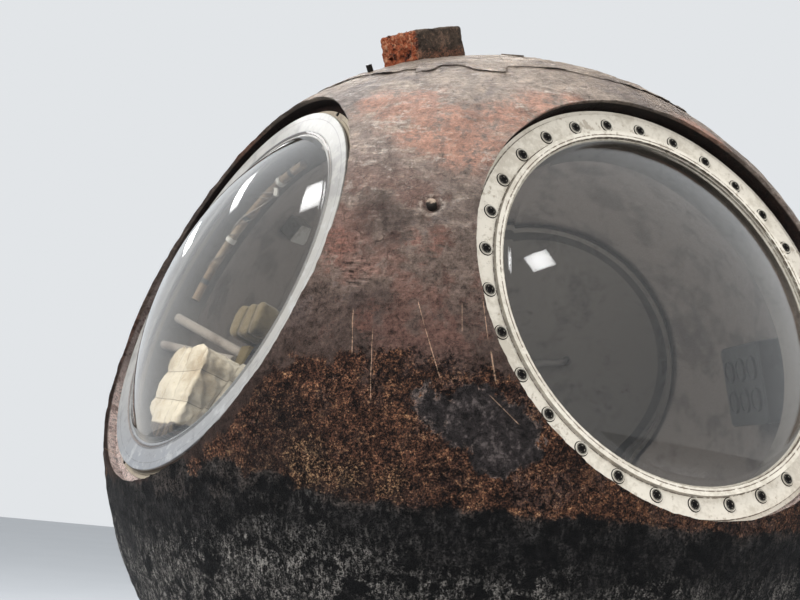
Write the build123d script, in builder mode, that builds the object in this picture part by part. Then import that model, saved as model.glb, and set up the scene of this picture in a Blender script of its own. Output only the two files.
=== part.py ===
import os
from math import asin, cos, degrees, radians, sin, sqrt

from build123d import *

os.makedirs("parts", exist_ok=True)

# A round descent capsule: a thick charred heat shield with a hollow cabin,
# three round hatchways with metal coamings, two of them closed by clear domes
# and the third by its own cover. +Z is up, -Y lies midway between the domes,
# and the origin is on the floor under the centre of the ball.
# Lengths are millimetres and angles are degrees.

# The ball and its cabin
shield_radius = 1150.0
contact_radius = 150.0  # crushed flat that the capsule stands on
shield_wall = 138.0
cavity_rise = 30.0  # the wall is thinner above than below
base_joint_room = 3.3  # degrees from the lowest opening's edge down to the base
crown_joint_room = 5.7  # degrees from the highest opening's edge up to the crown
liner_gap = 0.3
liner_wall = 22.0

# Hatchways: their openings through the shield differ a little
coaming_bore = 489.0
coaming_width = 97.0
coaming_flange = 20.0
mouth_depth = 49.1  # from the widest opening's edge down to the coaming's face
neck_wall = 16.0
neck_length = 99.0
seat_gap = 0.3
ledge_drop = 6.0  # the shield's ledge lies this far under the bolt ring's face
full_turn = 360.0
hatches = [
    # name, azimuth, elevation, room round the coaming
    ("left", -43.75, 20.4, 22.0),
    ("right", 43.75, 20.2, 5.0),
    ("rear", 180.0, 20.3, 14.0),
]

# Bolt rings
bolt_ring_wall = 14.0
bolt_ring_step = 4.0
bolt_ring_step_width = 12.0
bolt_count = 30
bolt_inset = 49.0  # from the coaming's bore out to the bolt circle
bolt_phase = 3.2
bolt_hole = 8.5
bushing_radius = 17.0
bushing_height = 3.0

# Clear domes
dome_height = 130.0
dome_wall = 8.0
gasket_wall = 8.0
gasket_width = 66.0
flange_wall = 9.0
flange_width = 79.0
rim_wall = 6.0
rim_width = 14.0
retainer_wall = 5.0
retainer_width = 20.0

# Rear cover
cover_gap = 6.0
cover_plate_wall = 16.0
cover_dish = 30.0
grip_radius = 12.0
grip_span = 220.0
grip_reach = 60.0

# Outer fittings
block_azimuth = -28.1
block_rise = 8.05  # degrees over the crown's joint up to the block's foot
block_turn = -9.0
block_size = (177.0, 198.0, 88.0)
block_corner = 22.0
block_root = 30.0  # how deep the block sits in the crown
pin_azimuth = -32.8
pin_rise = 3.4  # degrees over the crown's joint
pin_radius = 9.0
pin_height = 26.0
knob_place = (4.2, 25.6)
knob_radius = 13.0
knob_height = 14.0
knob_crater = 24.0
disc_place = (16.0, 72.6)
disc_radius = 34.0
disc_height = 6.0

# Cabin
deck_wall = 18.0
rail_gauge = 300.0
rail_width = 34.0
rail_depth = 50.0

cavity_radius = shield_radius - shield_wall
coaming_radius = coaming_bore + coaming_width
bolt_circle_radius = coaming_bore + bolt_inset
flange_radius = coaming_bore + flange_width
widest_opening = coaming_radius + max(room for name, azimuth, elevation, room in hatches)
opening_reach = degrees(asin(widest_opening / shield_radius))
base_top_angle = min(hatch[2] for hatch in hatches) - opening_reach - base_joint_room
crown_angle = max(hatch[2] for hatch in hatches) + opening_reach + crown_joint_room
pin_place = (pin_azimuth, crown_angle + pin_rise)
block_reach = degrees(asin(block_size[1] / 2 / shield_radius))
block_place = (block_azimuth, crown_angle + block_rise + block_reach)
coaming_face = sqrt(shield_radius**2 - widest_opening**2) - mouth_depth
neck_end = coaming_face - neck_length
centre_height = sqrt(shield_radius**2 - contact_radius**2)
centre = Vector(0, 0, centre_height)
cabin_centre = Vector(0, 0, centre_height + cavity_rise)
bolt_ring_face = coaming_face + bolt_ring_wall
outer_reach = 2 * shield_radius


def direction(azimuth, elevation):
    """Unit vector from the ball's centre, azimuth 0 at -Y and 90 at +X."""
    a = radians(azimuth)
    e = radians(elevation)
    return Vector(sin(a) * cos(e), -cos(a) * cos(e), sin(e))


def level_side(azimuth):
    """Level unit vector across a direction."""
    return Vector(cos(radians(azimuth)), sin(radians(azimuth)), 0)


def profile_plane(azimuth, elevation):
    """Plane through a hatch's axis: x is the radius, y runs outwards."""
    side = level_side(azimuth)
    axis = direction(azimuth, elevation)
    return Plane(origin=centre, x_dir=side, z_dir=side.cross(axis))


def face_plane(azimuth, elevation, height, turn=0.0, middle=centre):
    """Plane across a direction, at a height from the middle."""
    axis = direction(azimuth, elevation)
    across = level_side(azimuth).rotate(Axis((0, 0, 0), axis), turn)
    return Plane(origin=middle + axis * height, x_dir=across, z_dir=axis)


def save(piece, label):
    """Labels a finished piece and writes it."""
    piece.part.label = label
    export_step(piece.part, f"parts/{label}.step")


def ring_of(azimuth, elevation, points):
    """A turned piece from an outline of (radius, height) points."""
    with BuildPart() as turned:
        with BuildSketch(profile_plane(azimuth, elevation)):
            with BuildLine():
                Polyline(points, close=True)
            make_face()
        revolve(axis=Axis(centre, direction(azimuth, elevation)))
    return turned


# Heat shield, turned hollow and bored for the hatchways
with BuildPart() as shield:
    with Locations(centre):
        Sphere(shield_radius)
    with Locations(cabin_centre):
        Sphere(cavity_radius, mode=Mode.SUBTRACT)
    with Locations((0, 0, -shield_radius / 2)):
        Box(outer_reach, outer_reach, shield_radius, mode=Mode.SUBTRACT)
    for name, azimuth, elevation, room in hatches:
        with BuildSketch(profile_plane(azimuth, elevation)):
            opening = coaming_radius + room
            neck = coaming_bore + neck_wall + seat_gap
            seat = coaming_radius + seat_gap
            under = coaming_face - coaming_flange - seat_gap
            ledge = bolt_ring_face - ledge_drop
            with BuildLine():
                Polyline(
                    (0, cavity_radius / 2),
                    (neck, cavity_radius / 2),
                    (neck, under),
                    (seat, under),
                    (seat, ledge),
                    (opening, ledge),
                    (opening, outer_reach),
                    (0, outer_reach),
                    close=True,
                )
            make_face()
        revolve(axis=Axis(centre, direction(azimuth, elevation)), mode=Mode.SUBTRACT)

base_top = Plane.XY.offset(centre_height + shield_radius * sin(radians(base_top_angle)))
crown_base = Plane.XY.offset(centre_height + shield_radius * sin(radians(crown_angle)))

with BuildPart() as shield_base:
    add(shield.part)
    split(bisect_by=base_top, keep=Keep.BOTTOM)
save(shield_base, "shield_base")

belts = [
    # name, from azimuth, to azimuth
    ("front", hatches[0][1], hatches[1][1]),
    ("right", hatches[1][1], hatches[2][1]),
    ("left", hatches[2][1] - full_turn, hatches[0][1]),
]
for name, start, end in belts:
    with BuildPart() as belt:
        add(shield.part)
        split(bisect_by=base_top, keep=Keep.TOP)
        split(bisect_by=crown_base, keep=Keep.BOTTOM)
        split(bisect_by=Plane(origin=(0, 0, 0), z_dir=level_side(start)), keep=Keep.TOP)
        split(bisect_by=Plane(origin=(0, 0, 0), z_dir=level_side(end)), keep=Keep.BOTTOM)
        if name == "front":
            with Locations(face_plane(*knob_place, shield_radius)):
                Cylinder(knob_crater, knob_height, mode=Mode.SUBTRACT)
    save(belt, f"shield_belt_{name}")

# Crown, with the block's pocket
block_plane = face_plane(*block_place, shield_radius, block_turn)
with BuildPart() as block:
    with BuildSketch(block_plane.offset(-block_root)):
        RectangleRounded(block_size[0], block_size[1], block_corner)
    extrude(amount=block_root + block_size[2])
    fillet(block.faces().sort_by(Axis(centre, block_plane.z_dir))[-1].edges(), block_corner / 2)
save(block, "umbilical_block")

with BuildPart() as shield_crown:
    add(shield.part)
    split(bisect_by=crown_base, keep=Keep.TOP)
    with BuildSketch(block_plane.offset(-block_root - seat_gap)):
        RectangleRounded(
            block_size[0] + 2 * seat_gap, block_size[1] + 2 * seat_gap, block_corner + seat_gap
        )
    extrude(amount=block_root + block_size[2], mode=Mode.SUBTRACT)
    for place, radius in ((pin_place, pin_radius), (disc_place, disc_radius)):
        with Locations(face_plane(*place, shield_radius)):
            Cylinder(radius + seat_gap, 2 * pin_height, mode=Mode.SUBTRACT)
save(shield_crown, "shield_crown")

# Small outer fittings
with BuildPart() as pin:
    with BuildSketch(face_plane(*pin_place, shield_radius - pin_height)):
        Circle(pin_radius)
    extrude(amount=2 * pin_height)
save(pin, "guide_pin")

with BuildPart() as disc:
    with BuildSketch(face_plane(*disc_place, shield_radius - pin_height)):
        Circle(disc_radius)
    extrude(amount=pin_height + disc_height)
save(disc, "vent_disc")

with BuildPart() as knob:
    with BuildSketch(face_plane(*knob_place, shield_radius - knob_height / 2)):
        Circle(knob_radius)
    extrude(amount=knob_height / 2 + knob_height)
    fillet(knob.faces().sort_by(Axis(centre, direction(*knob_place)))[-1].edges(), knob_radius / 3)
save(knob, "knob_stub")

# Coamings and bolt rings
for name, azimuth, elevation, room in hatches:
    inner = coaming_bore + neck_wall
    coaming = ring_of(
        azimuth,
        elevation,
        [
            (coaming_bore, neck_end),
            (inner, neck_end),
            (inner, coaming_face - coaming_flange),
            (coaming_radius, coaming_face - coaming_flange),
            (coaming_radius, coaming_face),
            (coaming_bore, coaming_face),
        ],
    )
    save(coaming, f"coaming_{name}")

    step = coaming_radius - bolt_ring_step_width
    with BuildPart() as bolt_ring:
        add(
            ring_of(
                azimuth,
                elevation,
                [
                    (coaming_bore, coaming_face),
                    (coaming_radius, coaming_face),
                    (coaming_radius, bolt_ring_face - bolt_ring_step),
                    (step, bolt_ring_face - bolt_ring_step),
                    (step, bolt_ring_face),
                    (coaming_bore, bolt_ring_face),
                ],
            ).part
        )
        if name == "right":
            with BuildSketch(face_plane(azimuth, elevation, bolt_ring_face, bolt_phase)):
                with PolarLocations(bolt_circle_radius, bolt_count):
                    Circle(bushing_radius)
            extrude(amount=bushing_height)
        with BuildSketch(face_plane(azimuth, elevation, coaming_face, bolt_phase)):
            with PolarLocations(bolt_circle_radius, bolt_count):
                Circle(bolt_hole)
        extrude(amount=bolt_ring_wall + bushing_height, mode=Mode.SUBTRACT)
    save(bolt_ring, f"bolt_ring_{name}")


def dome(azimuth, elevation, rim_radius, rim_bottom, rim_top):
    """A blown clear cap with a flat rim around its foot."""
    curve = (coaming_bore**2 + dome_height**2) / (2 * dome_height)
    middle = rim_top + dome_height - curve
    inner_curve = curve - dome_wall
    inner_foot = sqrt(inner_curve**2 - (rim_bottom - middle) ** 2)
    lean = asin(coaming_bore / curve) / 2
    inner_lean = asin(inner_foot / inner_curve) / 2
    with BuildPart() as cap:
        with BuildSketch(profile_plane(azimuth, elevation)):
            with BuildLine():
                ThreePointArc(
                    (0, middle + curve),
                    (curve * sin(lean), middle + curve * cos(lean)),
                    (coaming_bore, rim_top),
                )
                Polyline(
                    (coaming_bore, rim_top),
                    (rim_radius, rim_top),
                    (rim_radius, rim_bottom),
                    (inner_foot, rim_bottom),
                )
                ThreePointArc(
                    (inner_foot, rim_bottom),
                    (inner_curve * sin(inner_lean), middle + inner_curve * cos(inner_lean)),
                    (0, middle + inner_curve),
                )
                Line((0, middle + inner_curve), (0, middle + curve))
            make_face()
        revolve(axis=Axis(centre, direction(azimuth, elevation)))
    return cap


# Left dome, wide flange on a gasket that covers the bolt holes
left_place = hatches[0][1:3]
gasket_top = bolt_ring_face + gasket_wall
gasket = ring_of(
    *left_place,
    [
        (coaming_bore + neck_wall / 2, bolt_ring_face),
        (coaming_bore + neck_wall / 2 + gasket_width, bolt_ring_face),
        (coaming_bore + neck_wall / 2 + gasket_width, gasket_top),
        (coaming_bore + neck_wall / 2, gasket_top),
    ],
)
save(gasket, "gasket_left")
save(dome(*left_place, flange_radius, gasket_top, gasket_top + flange_wall), "dome_left")

# Right dome, narrow rim inside the bolt circle under a retaining ring
right_place = hatches[1][1:3]
rim_radius = coaming_bore + rim_width
rim_top = bolt_ring_face + rim_wall
save(dome(*right_place, rim_radius, bolt_ring_face, rim_top), "dome_right")
retainer = ring_of(
    *right_place,
    [
        (coaming_bore + rim_width / 2, rim_top),
        (coaming_bore + rim_width / 2, rim_top + retainer_wall),
        (coaming_bore + rim_width / 2 + retainer_width, rim_top + retainer_wall),
        (coaming_bore + rim_width / 2 + retainer_width, bolt_ring_face),
        (rim_radius + seat_gap, bolt_ring_face),
        (rim_radius + seat_gap, rim_top),
    ],
)
save(retainer, "retainer_right")

# Rear cover: a metal plate on the bolt ring and its plug of shield
rear_place = hatches[2][1:3]
rear_axis = Axis(centre, direction(*rear_place))
rear_opening = coaming_radius + hatches[2][3]
plate_top = bolt_ring_face + cover_plate_wall
plate_radius = coaming_radius - bolt_ring_step_width
with BuildPart() as cover_plate:
    with BuildSketch(profile_plane(*rear_place)):
        with BuildLine():
            Polyline(
                (0, bolt_ring_face - cover_dish),
                (coaming_bore - 2 * cover_gap - cover_dish, bolt_ring_face - cover_dish),
                (coaming_bore - 2 * cover_gap, bolt_ring_face),
                (plate_radius, bolt_ring_face),
                (plate_radius, plate_top),
                (0, plate_top),
                close=True,
            )
        make_face()
    revolve(axis=rear_axis)
save(cover_plate, "rear_cover_plate")

plug_radius = rear_opening - cover_gap
plug_edge = sqrt(shield_radius**2 - plug_radius**2)
with BuildPart() as cover_plug:
    with BuildSketch(profile_plane(*rear_place)):
        with BuildLine():
            Line((0, shield_radius), (0, plate_top))
            Line((0, plate_top), (plug_radius, plate_top))
            Line((plug_radius, plate_top), (plug_radius, plug_edge))
            ThreePointArc(
                (plug_radius, plug_edge),
                (
                    shield_radius * sin(asin(plug_radius / shield_radius) / 2),
                    shield_radius * cos(asin(plug_radius / shield_radius) / 2),
                ),
                (0, shield_radius),
            )
        make_face()
    revolve(axis=rear_axis)
save(cover_plug, "rear_cover_shield")

# A bent grip on the inside of the cover
with BuildPart() as grip:
    grip_plane = profile_plane(*rear_place)
    grip_foot = bolt_ring_face - cover_dish
    with BuildLine() as grip_line:
        FilletPolyline(
            [
                grip_plane.from_local_coords((-grip_span / 2, grip_foot)),
                grip_plane.from_local_coords((-grip_span / 2, grip_foot - grip_reach)),
                grip_plane.from_local_coords((grip_span / 2, grip_foot - grip_reach)),
                grip_plane.from_local_coords((grip_span / 2, grip_foot)),
            ],
            radius=3 * grip_radius,
        )
    with BuildSketch(Plane(origin=grip_line.line @ 0, z_dir=grip_line.line % 0)):
        Circle(grip_radius)
    sweep()
save(grip, "rear_cover_grip")

# Cabin liner
liner_radius = cavity_radius - liner_gap
with BuildPart() as liner:
    with Locations(cabin_centre):
        Sphere(liner_radius)
        Sphere(liner_radius - liner_wall, mode=Mode.SUBTRACT)
    for name, azimuth, elevation, room in hatches:
        with BuildSketch(face_plane(azimuth, elevation, cavity_radius / 2)):
            Circle(coaming_bore + neck_wall + seat_gap)
        extrude(amount=shield_radius, mode=Mode.SUBTRACT)
save(liner, "cabin_liner")
room_radius = liner_radius - liner_wall

# Ejection seat, lying along the left hatch's axis with its head at the mouth.
# Its places are (across, up, out) from the ball's centre in the hatch's frame.
seat_middle = -150.0  # across
seat_drop = 19.0  # the rails' top lies this far inside the coaming's bore
seat_depth = 237.0  # the rails' upper end lies this far under the coaming's face
pan_width = 400.0
pan_length = 560.0
pan_wall = 10.0
pan_clear = 35.0  # height of the pan's lower end over the deck
pan_side = 60.0
pad_wall = 90.0
pad_corner = 30.0
post_size = 40.0
post_lap = 5.0  # how deep the posts end in the rails
cushion_span = (-335.0, -45.0)  # across
cushion_top = -150.0  # up
cushion_lap = 50.0  # how far the cushion covers the seat's upper end
cushion_depth = 17.0  # the cushion's front lies this far under the coaming's face
cushion_corner = 70.0
cushion_clear = 8.0
head_pad_size = (190.0, 110.0, 170.0)
head_pad_place = (-130.0, -20.0)  # across, up
head_pad_lead = 40.0  # its middle lies this far beyond the seat's upper end
head_pad_corner = 34.0
head_stem = 30.0
hose_radius = 15.0
hose_spread = 80.0  # the upper hose starts this much above its end
hose_pitch = 22.0  # the upper hose ends this much above the lower
hose_depths = (37.0, 22.0)  # where the hoses start, under the coaming's face
connector_size = (60.0, 60.0)  # across, out
connector_across = -160.0
connector_lead = 45.0  # its middle lies this far beyond the seat's upper end
left_axis = direction(*left_place)
seat_base = seat_drop - coaming_bore
seat_head = coaming_face - seat_depth
cushion_back = seat_head - cushion_lap
cushion_front = coaming_face - cushion_depth
head_pad_out = seat_head + head_pad_lead
connector_out = seat_head + connector_lead

# Deck across the lower cabin, just under the seat's lower end
seat_lean = radians(left_place[1])
pan_foot = seat_head - pan_length
deck_level = pan_foot * sin(seat_lean) + seat_base * cos(seat_lean) - pan_clear
deck_bottom = centre_height + deck_level - deck_wall
deck_drop = cabin_centre.Z - deck_bottom
deck_radius = sqrt((room_radius - seat_gap) ** 2 - deck_drop**2)
with BuildPart() as deck:
    with BuildSketch(Plane.XY.offset(deck_bottom)):
        Circle(deck_radius)
    extrude(amount=deck_wall)
save(deck, "cabin_deck")
deck_top = deck_bottom + deck_wall


def seat_plane(out):
    """Plane across the left hatch's axis, x across and y up."""
    return face_plane(*left_place, out)


rail_bottom = seat_base - rail_depth
# the rails slope up from the deck: how far out they are clear of it
rail_foot = (deck_level - rail_bottom * cos(seat_lean)) / sin(seat_lean)
post_out = seat_head - post_size
with BuildPart() as seat_rails:
    with BuildSketch(seat_plane(seat_head)):
        with Locations((seat_middle, seat_base - rail_depth / 2)):
            with GridLocations(rail_gauge, 0, 2, 1):
                Rectangle(rail_width, rail_depth)
                Rectangle(rail_width / 2, rail_depth / 2, mode=Mode.SUBTRACT)
    extrude(amount=-(seat_head - rail_foot - 2 * rail_depth))
    for out in (rail_foot + 3 * rail_depth, post_out):
        with BuildSketch(seat_plane(out)):
            with Locations((seat_middle, seat_base - rail_depth / 2)):
                Rectangle(rail_gauge - rail_width, rail_depth)
        extrude(amount=post_size)
    for across in (-rail_gauge / 2, rail_gauge / 2):
        foot = seat_plane(post_out).from_local_coords((seat_middle + across, rail_bottom + post_lap, 0))
        with BuildSketch(Plane(origin=(foot.X, foot.Y, deck_top), x_dir=level_side(left_place[0]))):
            Rectangle(rail_width, post_size)
        extrude(amount=foot.Z - deck_top)
        low = seat_plane(rail_foot + 2 * rail_depth).from_local_coords(
            (seat_middle + across, rail_bottom + post_lap, post_size / 2)
        )
        with BuildSketch(Plane(origin=(low.X, low.Y, deck_top), x_dir=level_side(left_place[0]))):
            Rectangle(rail_width, post_size)
        extrude(amount=low.Z - deck_top)
save(seat_rails, "seat_rails")

with BuildPart() as seat_pan:
    with BuildSketch(seat_plane(pan_foot)):
        with Locations((seat_middle, seat_base + pan_side / 2)):
            Rectangle(pan_width, pan_side)
        with Locations((seat_middle, seat_base + pan_side / 2 + pan_wall)):
            Rectangle(pan_width - 2 * pan_wall, pan_side, mode=Mode.SUBTRACT)
    extrude(amount=pan_length)
save(seat_pan, "seat_pan")

pan_floor = seat_base + pan_wall + seat_gap
with BuildPart() as seat_pad:
    with BuildSketch(seat_plane(pan_foot + pad_corner)):
        with Locations((seat_middle, pan_floor + pad_wall / 2)):
            RectangleRounded(pan_width - 2 * pan_wall - 4 * seat_gap, pad_wall, pad_corner)
    extrude(amount=cushion_back - seat_gap - pan_foot - pad_corner)
save(seat_pad, "seat_pad")

# The cushion stands in the pan and reaches through the neck to the dome
cushion_width = cushion_span[1] - cushion_span[0]
cushion_height = cushion_top - pan_floor
with BuildPart() as cushion:
    with BuildSketch(seat_plane(cushion_back)):
        with Locations((sum(cushion_span) / 2, (cushion_top + pan_floor) / 2)):
            RectangleRounded(cushion_width, cushion_height, cushion_corner)
    extrude(amount=cushion_front - cushion_back)
    with BuildSketch(profile_plane(*left_place)):
        with Locations(((coaming_bore - cushion_clear) + shield_radius / 2, neck_end - cushion_clear)):
            Rectangle(shield_radius, shield_radius, align=(Align.CENTER, Align.MIN))
    revolve(axis=Axis(centre, left_axis), mode=Mode.SUBTRACT)
save(cushion, "quilted_cushion")

with BuildPart() as head_pad:
    with BuildSketch(seat_plane(head_pad_out - head_pad_size[2] / 2)):
        with Locations(head_pad_place):
            RectangleRounded(head_pad_size[0], head_pad_size[1], head_pad_corner)
    extrude(amount=head_pad_size[2])
save(head_pad, "head_pad")

# Stem that carries the head pad above the rails, beside the cushion
stem_across = cushion_span[1] + head_stem / 2 + seat_gap
plate_under = head_pad_place[1] - head_pad_size[1] / 2 - seat_gap - pan_wall
with BuildPart() as stem:
    with BuildSketch(seat_plane(seat_head - head_stem)):
        with Locations((stem_across, (pan_floor + plate_under) / 2)):
            Rectangle(head_stem, plate_under - pan_floor)
        with Locations((head_pad_place[0], plate_under + pan_wall / 2)):
            Rectangle(head_pad_size[0], pan_wall)
    extrude(amount=head_stem)
save(stem, "head_stem")

# Connector on the cushion's top, where both hoses end
connector_low = cushion_top + seat_gap
with BuildPart() as connector:
    with BuildSketch(seat_plane(connector_out - connector_size[1] / 2)):
        with Locations((connector_across, (connector_low + plate_under - seat_gap) / 2)):
            Rectangle(connector_size[0], plate_under - seat_gap - connector_low)
    extrude(amount=connector_size[1])
save(connector, "hose_connector")

connector_side = connector_across - connector_size[0] / 2 - seat_gap
hose_low = connector_low + hose_radius
hose_high = hose_low + hose_pitch
hoses = [
    # start up, start out, end up, end out
    (hose_high + hose_spread, coaming_face - hose_depths[0], hose_high, connector_out - hose_radius / 2),
    (hose_low, coaming_face - hose_depths[1], hose_low, connector_out + hose_radius),
]
with BuildPart() as hose_pair:
    for start_up, start_out, end_up, end_out in hoses:
        start = seat_plane(start_out).from_local_coords((-coaming_bore, start_up, 0))
        end = seat_plane(end_out).from_local_coords((connector_across, end_up, 0))
        with BuildSketch(Plane(origin=start, z_dir=end - start)):
            Circle(hose_radius)
        extrude(amount=(end - start).length)
    with BuildSketch(seat_plane(0)):
        Circle(coaming_bore - seat_gap)
    extrude(amount=shield_radius, mode=Mode.INTERSECT)
    cut_point = seat_plane(0).from_local_coords((connector_side, 0, 0))
    split(bisect_by=Plane(origin=cut_point, z_dir=level_side(left_place[0])), keep=Keep.BOTTOM)
save(hose_pair, "suit_hoses")

# Cable bundle round the inside of the left mouth
bundle_radius = 13.0
bundle_depth = 59.0  # under the coaming's face
bundle_clear = 1.5
bundle_from = 99.0
bundle_to = 175.0
bundle_out = coaming_face - bundle_depth
bundle_ring = coaming_bore - bundle_radius - bundle_clear
with BuildPart() as bundle:
    with BuildLine(seat_plane(bundle_out)) as bundle_line:
        CenterArc((0, 0), bundle_ring, bundle_from, bundle_to - bundle_from)
    with BuildSketch(Plane(origin=bundle_line.line @ 0, z_dir=bundle_line.line % 0)):
        Circle(bundle_radius)
    sweep()
save(bundle, "cable_bundle")

clip_wall = 1.2
clip_width = 16.0
clip_gap = 0.1
clip_inset = 8.0  # degrees in from the bundle's ends
with BuildPart() as clips:
    for turn in (bundle_from + clip_inset, (bundle_from + bundle_to) / 2, bundle_to - clip_inset):
        a = radians(turn)
        spot = seat_plane(bundle_out).from_local_coords((bundle_ring * cos(a), bundle_ring * sin(a), 0))
        along = seat_plane(bundle_out).from_local_coords(
            (bundle_ring * cos(a) - sin(a), bundle_ring * sin(a) + cos(a), 0)
        )
        with BuildSketch(Plane(origin=spot, z_dir=along - spot)):
            Circle(bundle_radius + clip_wall)
            Circle(bundle_radius + clip_gap, mode=Mode.SUBTRACT)
        extrude(amount=clip_width / 2, both=True)
save(clips, "bundle_clips")

# Padded lining in the top of the left mouth
lining_wall = 12.0
lining_start = 18.0
lining_span = 50.0
with BuildPart() as lining:
    with BuildSketch(seat_plane(neck_end + clip_width)):
        with BuildLine():
            outer = coaming_bore - seat_gap
            inner = outer - lining_wall
            arc_a = CenterArc((0, 0), outer, lining_start, lining_span)
            arc_b = CenterArc((0, 0), inner, lining_start, lining_span)
            Line(arc_a @ 0, arc_b @ 0)
            Line(arc_a @ 1, arc_b @ 1)
        make_face()
    extrude(amount=bolt_ring_face - neck_end - 2 * clip_width)
save(lining, "mouth_lining")


def wall_seat(width, height, corner):
    """Distance from the cabin's centre at which a flat back meets the liner."""
    reach = sqrt((width / 2 - corner) ** 2 + (height / 2 - corner) ** 2) + corner
    return sqrt((room_radius - seat_gap) ** 2 - reach**2)


# Boxes that stand on the liner, one of them with dials
dial_spacing = 100.0
dial_radius = 38.0
dial_glass_radius = 31.0
wall_boxes = [
    # name, azimuth, elevation, width, height, depth, corner
    ("instrument_panel", 112.0, 12.0, 340.0, 260.0, 110.0, 18.0),
    ("lamp_box", -101.0, 40.0, 90.0, 70.0, 60.0, 8.0),
    ("supply_box_high", -122.0, 14.0, 240.0, 180.0, 130.0, 14.0),
    ("supply_box_low", -88.0, -12.0, 260.0, 150.0, 120.0, 14.0),
    ("radio_box", 0.0, 8.0, 190.0, 260.0, 90.0, 12.0),
]
for name, azimuth, elevation, width, height, depth, corner in wall_boxes:
    seat = wall_seat(width, height, corner)
    back = face_plane(azimuth, elevation, seat, middle=cabin_centre)
    with BuildPart() as wall_box:
        with BuildSketch(back):
            RectangleRounded(width, height, corner)
        extrude(amount=-depth)
        inner_face = wall_box.faces().sort_by(Axis(cabin_centre, back.z_dir))[0]
        chamfer(inner_face.edges(), corner / 4)
        if name == "instrument_panel":
            with BuildSketch(back.offset(-depth)):
                with GridLocations(dial_spacing, dial_spacing, 3, 2):
                    Circle(dial_radius)
            extrude(amount=-corner / 2)
            with BuildSketch(back.offset(-depth - corner / 2)):
                with GridLocations(dial_spacing, dial_spacing, 3, 2):
                    Circle(dial_glass_radius)
            extrude(amount=corner / 4, mode=Mode.SUBTRACT)
    save(wall_box, name)
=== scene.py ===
# %% [markdown]
# # Dressing a charred descent capsule
# The capsule is a ball 2.3 m across that has fallen through the air and burnt on its way.
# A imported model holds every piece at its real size, and this lesson puts the looks on it:
# a rough shield, machined rings, blown clear domes and quilted cloth in the cabin.

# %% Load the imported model
import math
from functools import reduce

import bmesh
import bpy
from mathutils import Matrix, Vector, noise


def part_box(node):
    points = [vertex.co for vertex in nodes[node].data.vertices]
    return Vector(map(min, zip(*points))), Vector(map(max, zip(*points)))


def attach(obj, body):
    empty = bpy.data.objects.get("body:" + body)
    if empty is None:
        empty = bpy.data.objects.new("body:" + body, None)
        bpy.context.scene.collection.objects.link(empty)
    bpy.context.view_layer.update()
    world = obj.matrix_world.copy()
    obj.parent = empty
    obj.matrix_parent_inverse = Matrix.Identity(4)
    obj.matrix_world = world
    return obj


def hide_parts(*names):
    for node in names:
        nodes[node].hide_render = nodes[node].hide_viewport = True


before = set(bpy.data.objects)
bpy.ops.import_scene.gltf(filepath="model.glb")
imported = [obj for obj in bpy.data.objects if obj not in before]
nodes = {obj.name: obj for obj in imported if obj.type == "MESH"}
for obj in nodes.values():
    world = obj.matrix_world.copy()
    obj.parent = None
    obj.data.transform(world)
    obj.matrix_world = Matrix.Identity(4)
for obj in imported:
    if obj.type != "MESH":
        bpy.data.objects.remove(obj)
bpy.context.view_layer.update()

# %% [markdown]
# ## Places on a ball
# Everything here is placed by two angles, as on a globe. Azimuth 0 looks at the front,
# between the two domes, and elevation 90 is the top. Each hatchway has a frame of its own:
# x runs level across it, y up its face and z straight out.

# %% The ball and its hatchways
# metres and degrees; a face's height is measured from the ball's centre along its hatchway
ball_radius = 1.150
contact_radius = 0.150
cavity_radius = 1.012
cavity_rise = 0.030
centre = Vector((0, 0, math.sqrt(ball_radius**2 - contact_radius**2)))
cabin_centre = centre + Vector((0, 0, cavity_rise))
crown_seam = 58.0
hatches = {
    # name: azimuth, elevation, opening radius
    "left": (-43.75, 20.4, 0.608),
    "right": (43.75, 20.2, 0.591),
    "rear": (180.0, 20.3, 0.600),
}
coaming_radius = 0.586
coaming_bore = 0.489
coaming_face = 0.927
ring_face = 0.941
bolt_count = 30
bolt_circle = 0.538
bolt_phase = 3.2


def direction(azimuth, elevation):
    """Unit vector, azimuth 0 at -Y and 90 at +X."""
    a, e = math.radians(azimuth), math.radians(elevation)
    return Vector((math.sin(a) * math.cos(e), -math.cos(a) * math.cos(e), math.sin(e)))


def facing(azimuth, elevation, out=0.0, turn=0.0, middle=centre):
    """A frame across a direction: x level, y up, z outwards, its origin out along z."""
    z = direction(azimuth, elevation)
    level = Vector((math.cos(math.radians(azimuth)), math.sin(math.radians(azimuth)), 0))
    x = Matrix.Rotation(math.radians(turn), 3, z) @ level
    y = z.cross(x)
    place = Matrix((x, y, z)).transposed().to_4x4()
    place.translation = middle + z * out
    return place


def on_hatch(hatch, out=0.0):
    """A frame across a hatchway, some way out along its axis."""
    return facing(*hatches[hatch][:2], out)


hatch_frames = {hatch: on_hatch(hatch) for hatch in hatches}
print("centre of the ball at", round(centre.z, 4))

# %% [markdown]
# ## The camera
# The photographer stood about 4.4 m off, a little below the middle of the ball, and tipped
# the camera slightly. The place and angles come from fitting the ball's outline and the
# bolts of the right-hand ring, so one set of numbers holds for the whole picture.

# %% Camera
camera_distance = 4.396
camera_azimuth = 12.87
camera_elevation = -2.25
camera_yaw = -3.68
camera_pitch = 7.29
camera_roll = 4.32
focal_pixels = 1401.7
frame_pixels = 800


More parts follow.
